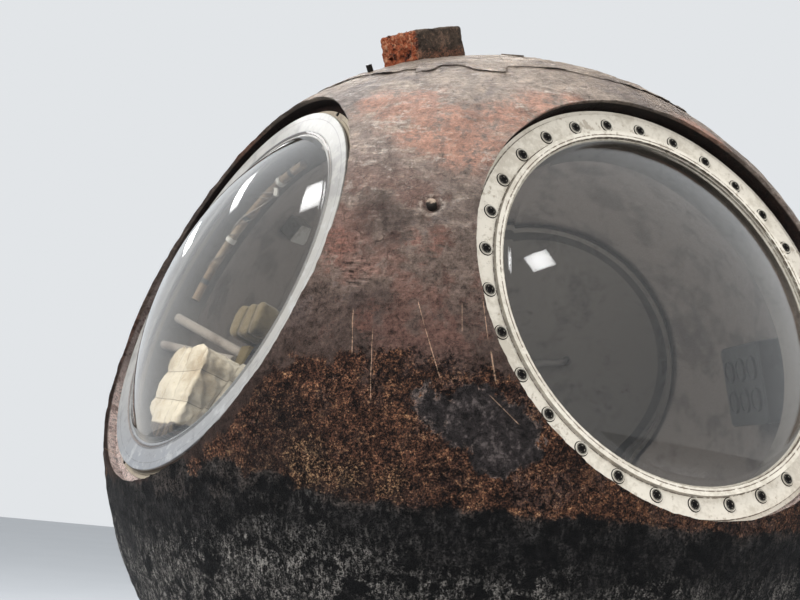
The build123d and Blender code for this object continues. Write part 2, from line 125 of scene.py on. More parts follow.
def aim_camera():
    """Makes the camera and points it as the photographer did."""
    data = bpy.data.cameras.new("camera")
    data.sensor_width = 36.0
    data.lens = focal_pixels / frame_pixels * data.sensor_width
    data.clip_end = 100.0
    look = direction(camera_azimuth + 180 - camera_yaw, 0)
    right = look.cross(Vector((0, 0, 1))).normalized()
    tip = math.radians(camera_pitch)
    look = look * math.cos(tip) + Vector((0, 0, 1)) * math.sin(tip)
    up = right.cross(look)
    roll = math.radians(camera_roll)
    x = right * math.cos(roll) + up * math.sin(roll)
    y = up * math.cos(roll) - right * math.sin(roll)
    place = Matrix((x, y, -look)).transposed().to_4x4()
    place.translation = centre + direction(camera_azimuth, camera_elevation) * camera_distance
    camera = bpy.data.objects.new("camera", data)
    camera.matrix_world = place
    bpy.context.collection.objects.link(camera)
    bpy.context.scene.camera = camera
    return camera


camera = aim_camera()
print("camera at", tuple(round(v, 3) for v in camera.matrix_world.translation))

# %% [markdown]
# ## Writing materials as sums
# A material is a tree of nodes, and a tree made by hand is hard to read. Two small classes
# let this file write it as arithmetic. A Wire is one socket, and + - * on Wires add Math
# nodes. A Finish is one material, and its add method makes any other node.

# %% Shader helpers
class Wire:
    """One socket of a material, usable as a number in an expression."""

    def __init__(self, finish, socket):
        self.finish = finish
        self.socket = socket

    def maths(self, operation, other=0.0):
        """A Math node on this socket and another value."""
        return self.finish.add("ShaderNodeMath", {"operation": operation}, {0: self, 1: other})

    def __add__(self, other):
        return self.maths("ADD", other)

    def __sub__(self, other):
        return self.maths("SUBTRACT", other)

    def __mul__(self, other):
        return self.maths("MULTIPLY", other)

    def __rsub__(self, other):
        return self.finish.add("ShaderNodeMath", {"operation": "SUBTRACT"}, {0: other, 1: self})

    __radd__ = __add__
    __rmul__ = __mul__

    def over(self, low, high):
        """0 up to low, 1 from high on, and a smooth step between."""
        settings = {"interpolation_type": "SMOOTHSTEP"}
        return self.finish.add("ShaderNodeMapRange", settings, {0: self, 1: low, 2: high})

    def either(self, other):
        """The larger of this and another value, which joins two masks."""
        return self.maths("MAXIMUM", other)

    def unsigned(self):
        """The value without its sign."""
        return self.maths("ABSOLUTE")


def any_of(masks):
    """One mask that is 1 where any of several is."""
    return reduce(Wire.either, masks)


class Finish:
    """A material under construction."""

    def __init__(self, name):
        self.material = bpy.data.materials.new(name)
        self.material.use_nodes = True
        self.tree = self.material.node_tree
        self.tree.nodes.clear()
        self.output = self.tree.nodes.new("ShaderNodeOutputMaterial")
        self.place = self.add("ShaderNodeTexCoord", {}, {}, "Object")

    def add(self, kind, settings, values, output=0):
        """Adds a node: its settings first, then the values or links of its sockets."""
        node = self.tree.nodes.new(kind)
        for name, value in settings.items():
            if name == "stops":
                for extra in range(len(value) - 2):
                    node.color_ramp.elements.new(0.5)
                for element, (position, colour) in zip(node.color_ramp.elements, value):
                    element.position = position
                    element.color = (*colour, 1)
            else:
                setattr(node, name, value)
        for name, value in values.items():
            if isinstance(value, Wire):
                self.tree.links.new(value.socket, node.inputs[name])
            elif isinstance(value, tuple) and len(value) == 3 and node.inputs[name].type == "RGBA":
                node.inputs[name].default_value = (*value, 1)
            else:
                node.inputs[name].default_value = value
        return Wire(self, node.outputs[output])

    def noise(self, scale, detail=4.0, roughness=0.55, place=None, output=0, distortion=0.0):
        """Blender's own noise, from 0 to 1, with a scale in waves to the metre."""
        values = {"Vector": place or self.place, "Scale": scale, "Detail": detail}
        values.update({"Roughness": roughness, "Distortion": distortion})
        return self.add("ShaderNodeTexNoise", {}, values, output)

    def wave(self, scale, detail=4.0, roughness=0.55, place=None, distortion=0.0):
        """Noise about zero that mostly stays between -1 and 1."""
        return (self.noise(scale, detail, roughness, place, 0, distortion) - 0.5) * 10.0

    def warped(self, scale, reach):
        """A small wandering offset for a place."""
        moved = self.noise(scale, 3.0, 0.6, output="Color")
        centred = self.vector("SUBTRACT", moved, (0.5, 0.5, 0.5))
        return self.vector("MULTIPLY", centred, (reach, reach, reach))

    def hatch_radius(self, hatch):
        """Distance from a hatchway's axis."""
        across = self.vector("SUBTRACT", self.place, tuple(centre))
        beside = self.vector("CROSS_PRODUCT", across, tuple(direction(*hatches[hatch][:2])))
        return self.vector("LENGTH", beside, (0, 0, 0), "Value")

    def grooves(self, hatch, lines):
        """1 on thin circles round a hatchway, each given by radius and half width."""
        reach = self.hatch_radius(hatch)
        return any_of(1.0 - (reach - radius).unsigned().over(half * 0.5, half * 1.5)
                      for radius, half in lines)

    def cell_edges(self, place):
        """Distance to the nearest edge in a field of uneven cells."""
        values = {"Vector": place, "Scale": 1.0}
        return self.add("ShaderNodeTexVoronoi", {"feature": "DISTANCE_TO_EDGE"}, values, "Distance")

    def vector(self, operation, first, second, output=0):
        """A Vector Math node."""
        return self.add("ShaderNodeVectorMath", {"operation": operation}, {0: first, 1: second}, output)

    def distance(self, first, second):
        """How far one place is from another."""
        return self.vector("DISTANCE", first, second, "Value")

    def dot(self, first, second):
        """How far a place lies along a direction."""
        return self.vector("DOT_PRODUCT", first, second, "Value")

    def part(self, axis, place=None):
        """One coordinate of a place, by its letter."""
        return self.add("ShaderNodeSeparateXYZ", {}, {0: place or self.place}, axis)

    def stretched(self, x, y, z):
        """The object's own coordinates, scaled along each axis."""
        return self.vector("MULTIPLY", self.place, (x, y, z))

    def in_frame(self, place):
        """The surface's three coordinates in another frame."""
        away = self.vector("SUBTRACT", self.place, tuple(place.translation))
        return [self.dot(away, tuple(place.col[axis].to_3d())) for axis in range(3)]

    def mix(self, first, second, factor):
        """A colour between two others."""
        settings = {"data_type": "RGBA", "clamp_factor": True}
        return self.add("ShaderNodeMix", settings, {0: factor, 6: first, 7: second}, 2)

    def scaled(self, colour, factor):
        """A colour made lighter or darker by a number about 1."""
        return self.add("ShaderNodeVectorMath", {"operation": "SCALE"}, {0: colour, 3: factor})

    def bump(self, height, distance, strength=1.0, normal=None):
        """A bump from a height, on top of another where one is given."""
        values = {"Height": height, "Distance": distance, "Strength": strength}
        if normal is not None:
            values["Normal"] = normal
        return self.add("ShaderNodeBump", {}, values)

    def surface(self, **values):
        """The main shader, its sockets given by name with _ for each space."""
        named = {name.replace("_", " "): value for name, value in values.items()}
        if "IOR" not in named:
            named.setdefault("Specular IOR Level", 0.25)
        return self.add("ShaderNodeBsdfPrincipled", {}, named)

    def done(self, shader):
        """Joins a shader to the output and gives the finished material."""
        self.tree.links.new(shader.socket, self.output.inputs["Surface"])
        return self.material


def shade(red, green, blue):
    """A colour given as on a paint card, 0 to 255, made linear for the shader."""
    def linear(v):
        v = v / 255
        return v / 12.92 if v <= 0.04045 else ((v + 0.055) / 1.055) ** 2.4
    return (linear(red), linear(green), linear(blue))


print("shader helpers ready")

# %% [markdown]
# ## Turned bodies
# Rings, domes and the holes of the hatchways are all turned: an outline of radius and
# height goes round an axis. One function makes every one of them. A wobble can push each
# point in or out, which is how a hole through burnt stuff gets its ragged edge.

# %% Turning and cutting
def make_object(name, mesh):
    """Puts a mesh in the scene under a plain name."""
    piece = bpy.data.objects.new(name, mesh)
    bpy.context.collection.objects.link(piece)
    return piece


def built(name, shape):
    """Ends a mesh under construction and puts it in the scene."""
    mesh = bpy.data.meshes.new(name)
    shape.to_mesh(mesh)
    shape.free()
    return make_object(name, mesh)


def applied(piece):
    """Runs a piece's modifiers and keeps what they made as its own mesh."""
    graph = bpy.context.evaluated_depsgraph_get()
    mesh = bpy.data.meshes.new_from_object(piece.evaluated_get(graph))
    piece.modifiers.clear()
    old, piece.data = piece.data, mesh
    bpy.data.meshes.remove(old)
    return piece


def on_circle(turn, radius=1.0, height=0.0):
    """A point on a circle round the z axis, by its angle in radians."""
    return Vector((radius * math.cos(turn), radius * math.sin(turn), height))


def bridge(shape, low, high):
    """Faces between two rings of points, or between a ring and a single point."""
    steps = max(len(low), len(high))
    for step in range(steps):
        after = (step + 1) % steps
        if len(low) == 1:
            shape.faces.new((low[0], high[step], high[after]))
        elif len(high) == 1:
            shape.faces.new((low[step], low[after], high[0]))
        else:
            shape.faces.new((low[step], low[after], high[after], high[step]))


def turned(name, place, outline, steps=96, wobble=None):
    """Turns (radius, height) points about a frame's z axis. Points at radius 0 close the ends."""
    shape = bmesh.new()
    rows = []
    for radius, height in outline:
        if radius == 0:
            rows.append([shape.verts.new(place @ Vector((0, 0, height)))])
            continue
        row = []
        for step in range(steps):
            turn = 2 * math.pi * step / steps
            out = radius + (wobble(turn, radius, height) if wobble else 0)
            row.append(shape.verts.new(place @ on_circle(turn, out, height)))
        rows.append(row)
    pairs = list(zip(rows, rows[1:]))
    if outline[0][0] != 0:
        pairs.append((rows[-1], rows[0]))
    for low, high in pairs:
        bridge(shape, low, high)
    bmesh.ops.recalc_face_normals(shape, faces=shape.faces)
    return built(name, shape)


def carve(body, cutter, operation="DIFFERENCE"):
    """Cuts a closed body with another, for good."""
    cut = body.modifiers.new("cut", "BOOLEAN")
    cut.operation = operation
    cut.solver = "MANIFOLD"
    cut.object = cutter
    applied(body)


def discard(*pieces):
    """Takes helper pieces out of the scene with their meshes."""
    for piece in pieces:
        mesh = piece.data
        bpy.data.objects.remove(piece)
        bpy.data.meshes.remove(mesh)


def smooth(piece, angle=35.0):
    """Soft shading, with the edges sharper than an angle left crisp."""
    piece.data.polygons.foreach_set("use_smooth", [True] * len(piece.data.polygons))
    piece.data.set_sharp_from_angle(angle=math.radians(angle))
    return piece


print("turning ready")

# %% [markdown]
# ## The charred ball
# The shield starts as a ball of small triangles. Every point is pushed in or out by a
# layered noise, so no part of it stays truly round. The crown is a separate cap that
# stands a few millimetres proud, with a broken lip where the two layers meet.

# %% Relief of the skin
knob_place = (4.2, 25.6)
scrape_place = (-4.0, 15.8)
crater_radius = 0.026
knob_spot = direction(*knob_place)
scrape_spot = direction(*scrape_place)
scrape_side = Vector((math.cos(math.radians(scrape_place[0])), math.sin(math.radians(scrape_place[0])), 0))


def layered(point, scale, octaves=4, rough=0.6):
    """Noise in octaves, about -1 to 1."""
    return noise.fractal(point * scale, rough, 2.0, octaves, noise_basis="PERLIN_ORIGINAL")


def relief(way):
    """How far the skin stands off the true ball in one direction."""
    spot = way * ball_radius
    lift = layered(spot, 2.6) * 0.0030 + layered(spot, 15, 3) * 0.0020
    lift += layered(spot + Vector((3, 1, 2)), 42, 2) * 0.0011
    char_and_wall_shade = max(0.0, min(1.0, (0.08 - way.z) * 6))
    lift += char_and_wall_shade * layered(spot, 30, 3) * 0.0009
    away = (way - knob_spot).length * ball_radius
    if away < crater_radius * 2:
        rim = away / crater_radius
        lift += 0.003 * math.exp(-((rim - 1.1) / 0.22) ** 2) - 0.009 * max(0.0, 1 - rim**3)
    off = way - scrape_spot
    across, upward = off.dot(scrape_side) * ball_radius, off.z * ball_radius
    patch = math.exp(-((across / 0.05) ** 2) - (upward / 0.014) ** 2)
    if patch > 0.02:
        lift += patch * layered(Vector((across, 0, upward * 4)), 60, 3) * 0.007
    return lift


seam_line = [
    # azimuth, elevation of the crown's edge and how many millimetres it stands proud
    (-180, 58.0, 2), (-150, 58.6, 2), (-148, 57.0, 3), (-100, 57.4, 2), (-97, 59.0, 3),
    (-60, 58.4, 3), (-27, 58.6, 3), (-19, 57.8, 3.5), (-11.0, 58.4, 3), (-10.6, 56.9, 3.5),
    (-5.6, 57.5, 3), (-5.2, 59.6, 2.2), (0, 59.8, 1.4), (6, 57.3, 2), (8, 56.8, 2.6),
    (12.9, 56.4, 2), (13.4, 59.4, 1.4), (20, 60.6, 1.3), (28, 60.9, 1.4), (35, 60.2, 1.4),
    (48, 59.6, 2), (76, 58.0, 2), (110, 59.0, 2), (112, 57.4, 3), (150, 57.0, 3),
    (153, 58.4, 2), (180, 58.0, 2),
]


def seam_at(turn):
    """Elevation and rise of the seam at one turn, between the table's rows."""
    around = (math.degrees(turn) + 90 + 180) % 360 - 180
    for (a, low, flush), (b, high, proud) in zip(seam_line, seam_line[1:]):
        if a <= around <= b:
            share = (around - a) / (b - a)
            return low + (high - low) * share, (flush + (proud - flush) * share) * 0.001


def crown_relief(way):
    """The crown's skin is rougher, and in places its edge stands over the belt's."""
    spot = way * ball_radius
    level, rise = seam_at(math.atan2(way.y, way.x))
    above = math.degrees(math.asin(max(-1.0, min(1.0, way.z)))) - level
    lip = rise * math.exp(-((above / 7.0) ** 2)) * max(0.3, 1 + 1.6 * layered(spot, 9.0, 3))
    lift = lip + layered(spot, 7, 4) * 0.0022 + abs(layered(spot, 26, 4)) * 0.0030
    return relief(way) + max(0.0002, lift)


def skin_ball(name, rise, fineness, refined=None):
    """A ball of triangles with its skin raised, made finer where asked."""
    shape = bmesh.new()
    bmesh.ops.create_icosphere(shape, subdivisions=fineness, radius=1.0)
    if refined:
        edges = [e for e in shape.edges if refined((e.verts[0].co + e.verts[1].co).normalized())]
        bmesh.ops.subdivide_edges(shape, edges=edges, cuts=1, use_grid_fill=True)
        bmesh.ops.triangulate(shape, faces=shape.faces)
    for vert in shape.verts:
        way = vert.co.normalized()
        vert.co = centre + way * (ball_radius + rise(way))
        vert.co.z = max(vert.co.z, 0.0)
    return built(name, shape)


def looked_at(way):
    """The front of the ball between and round the two domes, where the camera looks."""
    turn = math.degrees(math.atan2(way.x, -way.y))
    return -25 < turn < 42 and way.z > -0.42 and way.z < 0.87


def seam_height(turn):
    """Where the crown meets the belt: a line that wanders and jumps round the ball."""
    spot = on_circle(turn, 1.0, 0.3)
    level = seam_at(turn)[0] + 0.28 * layered(spot, 9.0, 5, 0.4) + 0.30 * layered(spot, 44.0, 4)
    return centre.z + ball_radius * math.sin(math.radians(level))


fineness = 7
body = skin_ball("charred_shield", relief, fineness, looked_at)
crown = skin_ball("charred_crown", crown_relief, 7, lambda way: way.z > 0.8 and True)
print("skin:", len(body.data.polygons), "and", len(crown.data.polygons), "triangles")

# %% [markdown]
# ## Cutting the ball open
# Three cutters go through the wall, one for each hatchway. Each has the real steps: the
# neck, the seat of the metal coaming and the wide opening, whose wall is left granular.
# A disc with a ragged underside then parts the crown from the rest.

# %% Cutters
play = 0.0003
coaming_wall = 0.016
coaming_thick = 0.020
cut_start, cut_end = 0.6, 1.3
above_all = 2.6
hole_steps, seam_steps = 320, 1080


def ragged(turn, radius, height, rough=0.0024):
    """Grain of a burnt wall; the metal's seat stays true."""
    if radius < coaming_radius + 0.004:
        return 0.0
    spot = on_circle(turn, radius, height)
    return rough * layered(spot, 9, 2) + 0.6 * rough * layered(spot, 60, 3)


def hatch_cutter(name, opening):
    """The hole of one hatchway."""
    neck, seat = coaming_bore + coaming_wall + play, coaming_radius + play
    under, ledge = coaming_face - coaming_thick - play, ring_face - 0.006
    top = math.sqrt(ball_radius**2 - opening**2)
    wall = [(opening, ledge + (top - ledge) * step / 7) for step in range(8)]
    flare = [(opening + 0.0015, top + 0.004), (opening + 0.008, top + 0.02), (opening + 0.01, cut_end)]
    outline = [(0, cut_start), (neck, cut_start), (neck, under), (seat, under), (seat, ledge)]
    return turned("cutter", hatch_frames[name], outline + wall + flare + [(0, cut_end)], hole_steps, ragged)


def seam_opening(turn):
    """How far the crown and the belt have drawn apart."""
    return seam_at(turn)[1] * 0.6 * max(0.2, 1 + 3.0 * layered(on_circle(turn, 1.0, 1.7), 16.0, 4, 0.5))


def parting_disc(opened=0.0):
    """Everything above the seam, with the seam's own ragged line as its underside."""
    shape = bmesh.new()
    inner, low, high = [], [], []
    for step in range(seam_steps):
        turn = 2 * math.pi * step / seam_steps
        reach = on_circle(turn)
        level = Vector((0, 0, seam_height(turn) - opened * seam_opening(turn)))
        inner.append(shape.verts.new(reach * 0.45 + level))
        low.append(shape.verts.new(reach + level))
        high.append(shape.verts.new(reach + Vector((0, 0, above_all))))
    foot = shape.verts.new((0, 0, centre.z + ball_radius * math.sin(math.radians(crown_seam))))
    head = shape.verts.new((0, 0, above_all))
    for step in range(seam_steps):
        after = (step + 1) % seam_steps
        shape.faces.new((foot, inner[after], inner[step]))
        shape.faces.new((inner[step], inner[after], low[after], low[step]))
        shape.faces.new((low[step], low[after], high[after], high[step]))
        shape.faces.new((high[step], high[after], head))
    bmesh.ops.recalc_face_normals(shape, faces=shape.faces)
    return built("parting", shape)


def hollow():
    """The round cabin inside the wall."""
    shape = bmesh.new()
    bmesh.ops.create_icosphere(shape, subdivisions=5, radius=cavity_radius)
    bmesh.ops.translate(shape, verts=shape.verts, vec=cabin_centre)
    return built("hollow", shape)


parting, lower_parting, room = parting_disc(), parting_disc(1.0), hollow()
carve(body, lower_parting)
carve(crown, parting, "INTERSECT")
for shell in (body, crown):
    carve(shell, room)
for name, (azimuth, elevation, opening) in hatches.items():
    cutter = hatch_cutter(name, opening)
    carve(body, cutter)
    carve(crown, cutter)
    discard(cutter)
discard(parting, lower_parting, room)
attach(smooth(body, 50), "capsule")
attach(smooth(crown, 50), "capsule")
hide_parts("shield_base", "shield_belt_front", "shield_belt_left", "shield_belt_right")
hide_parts("shield_crown")
print("cut open:", len(body.data.polygons), "and", len(crown.data.polygons), "faces")

# %% [markdown]
# ## The rear cover
# The rear hatchway is closed by a plate that carries its own plug of shield. The plug is
# turned longer than the wall is thick, and the ball's own skin then cuts it to length, so
# its face carries on the relief beside it.

# %% The rear cover's own piece of shield
plug_gap = 0.006
plug_sunk = 0.002
plate_top = ring_face + 0.016
wall_end = 1.02


def plug_outline():
    """A plain turned plug, longer than the wall is thick."""
    reach = hatches["rear"][2] - plug_gap
    wall = [(reach, plate_top + (wall_end - plate_top) * step / 8) for step in range(9)]
    return [(0, plate_top)] + wall + [(reach, cut_end), (0, cut_end)]


plug = turned("charred_cover", hatch_frames["rear"], plug_outline(), hole_steps,
              lambda turn, radius, height: -abs(ragged(turn, radius, height)) if radius else 0.0)
ball = skin_ball("skin", lambda way: relief(way) - plug_sunk, fineness - 1)
carve(plug, ball, "INTERSECT")
discard(ball)
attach(smooth(plug, 50), "rear_cover")
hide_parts("rear_cover_shield")
print("cover:", len(plug.data.polygons), "faces")

# %% [markdown]
# ## The burnt skin
# Its colours run in bands by height: beige and pink on top, brown in the middle, rust, then
# black char with a broken edge. Noise moves the bands' edges, and a table of spots holds
# the patches that the photographer saw. Scratches are thin lines between two places.

# %% Tones and spots of the skin
beige, brown_grey = shade(180, 160, 142), shade(118, 102, 91)
pink, dull_pink = shade(184, 138, 118), shade(136, 92, 80)
char, deep_char, ash = shade(32, 29, 29), shade(14, 13, 13), shade(184, 177, 168)
rust, ember, tan = shade(82, 55, 44), shade(122, 80, 54), shade(172, 142, 104)
soot = shade(22, 17, 15)
skin_brightness, char_brightness = 1.15, 0.54
skin_tones = [
    # sine of the elevation: colour
    (-0.30, shade(58, 46, 42)),
    (0.02, shade(66, 52, 46)),
    (0.11, shade(86, 71, 64)),
    (0.18, shade(103, 86, 78)),
    (0.30, shade(121, 104, 94)),
    (0.45, shade(136, 120, 110)),
    (0.58, shade(156, 139, 129)),
    (0.72, shade(166, 149, 136)),
    (0.90, shade(158, 142, 127)),
]
pink_spots = [
    # azimuth, elevation, reach in metres
    (-13.0, 46.5, 0.07),
    (-4.0, 44.5, 0.10),
    (3.5, 39.5, 0.12),
    (8.5, 36.0, 0.09),
    (13.5, 43.0, 0.08),
    (20.0, 46.5, 0.07),
    (28.0, 48.0, 0.05),
    (60.0, 47.5, 0.10),
    (-70.0, 47.0, 0.12),
    (110.0, 38.0, 0.20),
    (-130.0, 42.0, 0.22),
]
red_spots = [
    # duller and lower down
    (-8.5, 20.0, 0.055),
    (-12.5, 24.0, 0.040),
    (5.2, 21.6, 0.022),
    (2.5, 20.5, 0.020),
    (-1.0, 9.5, 0.016),
    (12.5, 9.0, 0.014),
    (3.0, 14.5, 0.020),
]
sooty_spots = [
    # round the knob and below it
    (4.2, 25.6, 0.034),
    (5.0, 23.2, 0.022),
    (-3.5, 26.5, 0.040),
    (0.5, 20.5, 0.022),
]
dark_spots = [
    # where the rust is nearly black
    (8.0, 4.6, 0.075),
    (2.5, 3.6, 0.045),
    (-11.0, -1.5, 0.050),
    (-75.0, 3.0, 0.10),
    (140.0, -3.0, 0.10),
]
tan_spots = [
    # golden grains near the black edge
    (-8.0, -7.0, 0.045),
    (-2.5, -9.3, 0.032),
    (3.0, -9.6, 0.024),
    (100.0, -6.0, 0.08),
    (-140.0, -7.0, 0.10),
]
rust_spots = [
    # where the rust reaches higher than its edge
    (-3.0, 2.0, 0.07),
    (3.0, 3.0, 0.085),
    (8.0, 3.4, 0.085),
    (13.0, 1.8, 0.07),
    (-80.0, 2.0, 0.12),
    (120.0, 3.0, 0.14),
    (175.0, 2.0, 0.12),
]
grey_spots = [
    # the smooth dark patches inside the rust
    (7.5, -0.5, 0.045),
    (11.5, -1.0, 0.068),
    (15.5, -2.5, 0.080),
    (-95.0, -2.0, 0.13),
    (80.0, -3.0, 0.15),
    (150.0, 2.0, 0.14),
]
black_spots = [
    # where the black reaches higher than its edge
    (-14.0, -12.5, 0.085),
    (-21.0, -12.5, 0.105),
    (-31.0, -13.0, 0.115),
    (95.0, -12.0, 0.12),
    (-120.0, -13.0, 0.15),
    (170.0, -12.0, 0.14),
]
scratches = [
    # from azimuth, elevation, to azimuth, elevation, half width in metres
    (-3.8, 11.3, -3.1, 5.6, 0.0016),
    (-0.9, 9.0, -0.3, 0.3, 0.0013),
    (4.2, 12.6, 5.4, 9.4, 0.0012),
    (5.4, 9.4, 7.8, 3.3, 0.0014),
    (13.6, 1.8, 17.3, -1.4, 0.0012),
    (12.0, 13.5, 13.0, 8.2, 0.0011),
    (9.6, 12.6, 9.9, 9.0, 0.0009),
    (13.4, 7.0, 14.2, 3.4, 0.0024),
    (-98.0, 9.0, -95.0, 1.0, 0.0020),
    (118.0, 14.0, 121.0, 4.0, 0.0018),
]
all_spots = (pink_spots, red_spots, sooty_spots, dark_spots, tan_spots, rust_spots, grey_spots, black_spots)
print("spots on the skin:", sum(len(table) for table in all_spots))

# %% [markdown]
# Each layer of the skin is a short function that takes the colour so far and returns it
# with its own marks on top. The noises are made once and shared, so a dark grain in the
# colour is also a pit in the bump.

# %% Skin finish
def on_ball(azimuth, elevation):
    """A place on the ball, as a material takes it."""
    return tuple(centre + direction(azimuth, elevation) * ball_radius)


def spots_mask(finish, spots, wander, blur):
    """1 inside any of the spots, with wandering edges."""
    def inside(azimuth, elevation, reach):
        away = finish.distance(finish.place, on_ball(azimuth, elevation)) + wander
        return 1.0 - away.over(reach - blur, reach + blur)
    return any_of(inside(*spot) for spot in spots)


def scratch_mask(finish, way):
    """Thin lines along the ball from one place to another."""
    lines = []
    for *ends, half in scratches:
        start, end = direction(*ends[:2]), direction(*ends[2:])
        across = start.cross(end).normalized()
        along = across.cross((start + end).normalized())
        reach = (end - start).length / 2
        off = finish.dot(way, tuple(across)).unsigned()
        gone = finish.dot(way, tuple(along)).unsigned()
        width = half / ball_radius
        lines.append((1.0 - off.over(width * 0.45, width)) * (1.0 - gone.over(reach * 0.8, reach * 1.05)))
    return any_of(lines)


class Skin(Finish):
    """The skin's material, with the places and noises that all its layers share."""

    def __init__(self):
        super().__init__("charred skin")
        offset = self.vector("SUBTRACT", self.place, tuple(centre))
        self.way = self.vector("NORMALIZE", offset, (0, 0, 0))
        self.depth = ball_radius - self.vector("LENGTH", offset, (0, 0, 0), "Value")
        self.up = self.part("Z", self.way)
        self.upper = self.up.over(0.22, 0.5)
        self.broad = self.wave(2.3, 5.0)
        self.middle = self.wave(9.0, 8.0, 0.66)
        self.cloud = self.wave(21.0, 11.0, 0.74, distortion=0.35)
        self.fine = self.wave(75.0, 8.0, 0.78)
        self.grit = self.wave(230.0, 4.0, 0.8)
        self.brushed = self.wave(1.0, 9.0, 0.70, self.stretched(12.0, 12.0, 62.0))
        self.dribbled = self.wave(1.0, 8.0, 0.76, self.stretched(110.0, 110.0, 14.0))
        self.grains = self.fine * 0.75 + self.grit * 1.25 + self.cloud * 0.4


def upper_bands(f):
    """Brown to beige by height, with pink, red, sooty and pale places."""
    up, upper, brushed = f.up, f.upper, f.brushed
    broad, middle, cloud, fine = f.broad, f.middle, f.cloud, f.fine
    level = up + broad * 0.014 + middle * 0.020 + fine * 0.004
    low, high = skin_tones[0][0], skin_tones[-1][0]
    stops = [((at - low) / (high - low), tone) for at, tone in skin_tones]
    colour = f.add("ShaderNodeValToRGB", {"stops": stops}, {"Fac": (level - low) * (1 / (high - low))})
    colour = f.mix(colour, brown_grey, (middle + cloud * 0.8).over(0.3, 1.5) * 0.45 * upper)
    colour = f.mix(colour, beige, (brushed + cloud * 0.8).over(0.2, 1.5) * 0.45 * upper)
    reddish = (broad + middle * 0.8 - cloud * 0.4).over(0.1, 1.2) * up.over(0.06, 0.16)
    colour = f.mix(colour, dull_pink, reddish * (1.0 - up.over(0.45, 0.6)) * 0.42)
    bluish = (middle * 0.6 - broad + cloud).over(0.3, 1.4) * up.over(0.12, 0.25)
    colour = f.mix(colour, shade(98, 92, 92), bluish * 0.5)
    ragged_edge = middle * 0.028 + brushed * 0.012 + cloud * 0.022 + fine * 0.010
    f.pinkness = spots_mask(f, pink_spots, ragged_edge, 0.026)
    blotch = (cloud * 0.7 + middle * 0.7 + fine * 0.4 + broad * 0.4).over(-1.2, 0.3)
    colour = f.mix(colour, pink, f.pinkness * blotch * 0.85)
    redness = spots_mask(f, red_spots, ragged_edge, 0.020)
    colour = f.mix(colour, shade(150, 104, 90), redness * (brushed + fine * 0.5).over(-1.0, 0.6) * 0.65)
    sootiness = spots_mask(f, sooty_spots, ragged_edge, 0.014)
    colour = f.mix(colour, shade(64, 56, 52), sootiness * (cloud + fine * 0.6).over(-0.9, 0.7) * 0.6)
    smudge = (f.wave(6.0, 9.0, 0.70, distortion=0.5) + fine * 0.3).over(0.25, 1.3)
    colour = f.mix(colour, shade(72, 60, 56), smudge * (0.6 - f.pinkness * 0.35) * up.over(0.08, 0.2))
    pale = (f.wave(24.0, 10.0, 0.78, distortion=0.6) + brushed * 0.5 + broad * 0.4).over(0.7, 1.7)
    colour = f.mix(colour, shade(208, 196, 184), pale * 0.6 * up.over(0.35, 0.55))
    hair = 1.0 - f.wave(15.0, 3.0, 0.5, distortion=2.0).unsigned().over(0.015, 0.055)
    return f.mix(colour, shade(206, 194, 184), hair * broad.over(-0.4, 0.8) * 0.4 * up.over(0.3, 0.5))


def cracked(f, colour):
    """Fine cracks, fewer on the pink and none at the very top."""
    edges = f.cell_edges(f.vector("ADD", f.stretched(15.0, 15.0, 44.0), f.warped(9.0, 1.2)))
    f.split = (1.0 - edges.over(0.003, 0.024)) * (f.middle + f.broad * 0.6 + f.cloud * 0.5).over(0.2, 0.9)
    depth = f.split * (0.6 - f.pinkness * 0.35) * (1.0 - f.up.over(0.80, 0.90))
    return f.mix(colour, shade(44, 34, 30), depth)


def rusted(f, colour):
    """Rust with its grains, and the smooth grey patches inside it."""
    up, dribbled, grains = f.up, f.dribbled, f.grains
    broad, middle, cloud, fine = f.broad, f.middle, f.cloud, f.fine
    fingers = dribbled * 0.008 + cloud * 0.016 + middle * 0.026 + broad * 0.010
    rusty = 1.0 - (up + fingers).over(0.060, 0.095)
    rusty = rusty.either(spots_mask(f, rust_spots, fingers * 0.9, 0.016))
    beside = f.hatch_radius("left") + cloud * 0.008 + middle * 0.010
    f.rusty = rusty * beside.over(hatches["left"][2] + 0.020, hatches["left"][2] + 0.036)
    golden = spots_mask(f, tan_spots, fingers, 0.030)
    darkened = spots_mask(f, dark_spots, fingers, 0.020)
    tone = f.mix(soot, rust, grains.over(-0.7, 0.4))
    tone = f.mix(tone, ember, (grains + broad * 0.3 + golden * 0.5).over(0.4, 1.4) * 0.75)
    tone = f.mix(tone, tan, (grains + middle * 0.3 + golden * 1.0).over(1.3, 2.3) * 0.8)
    tone = f.mix(tone, shade(32, 26, 24), darkened * (0.7 - grains.over(0.0, 1.2) * 0.5))
    mauve = (middle - cloud * 0.5 + broad * 0.6).over(0.0, 1.2)
    tone = f.mix(tone, shade(84, 70, 68), mauve * fine.over(-0.6, 0.5) * 0.45)
    tone = f.mix(tone, shade(30, 25, 24), (cloud + middle * 0.8 - broad * 0.5).over(0.5, 1.3) * 0.6)
    f.grey = spots_mask(f, grey_spots, middle * 0.020 + cloud * 0.014, 0.007)
    paler = (cloud + fine * 0.7 + dribbled * 0.4).over(0.1, 1.4) * 0.7
    tone = f.mix(tone, f.mix(shade(56, 50, 49), shade(96, 87, 84), paler), f.grey)
    rim = f.grey.over(0.02, 0.40) * (1.0 - f.grey.over(0.55, 0.98)) * cloud.over(-0.7, 0.3)
    tone = f.mix(tone, shade(146, 132, 124), rim * 0.6)
    return f.mix(colour, tone, f.rusty)


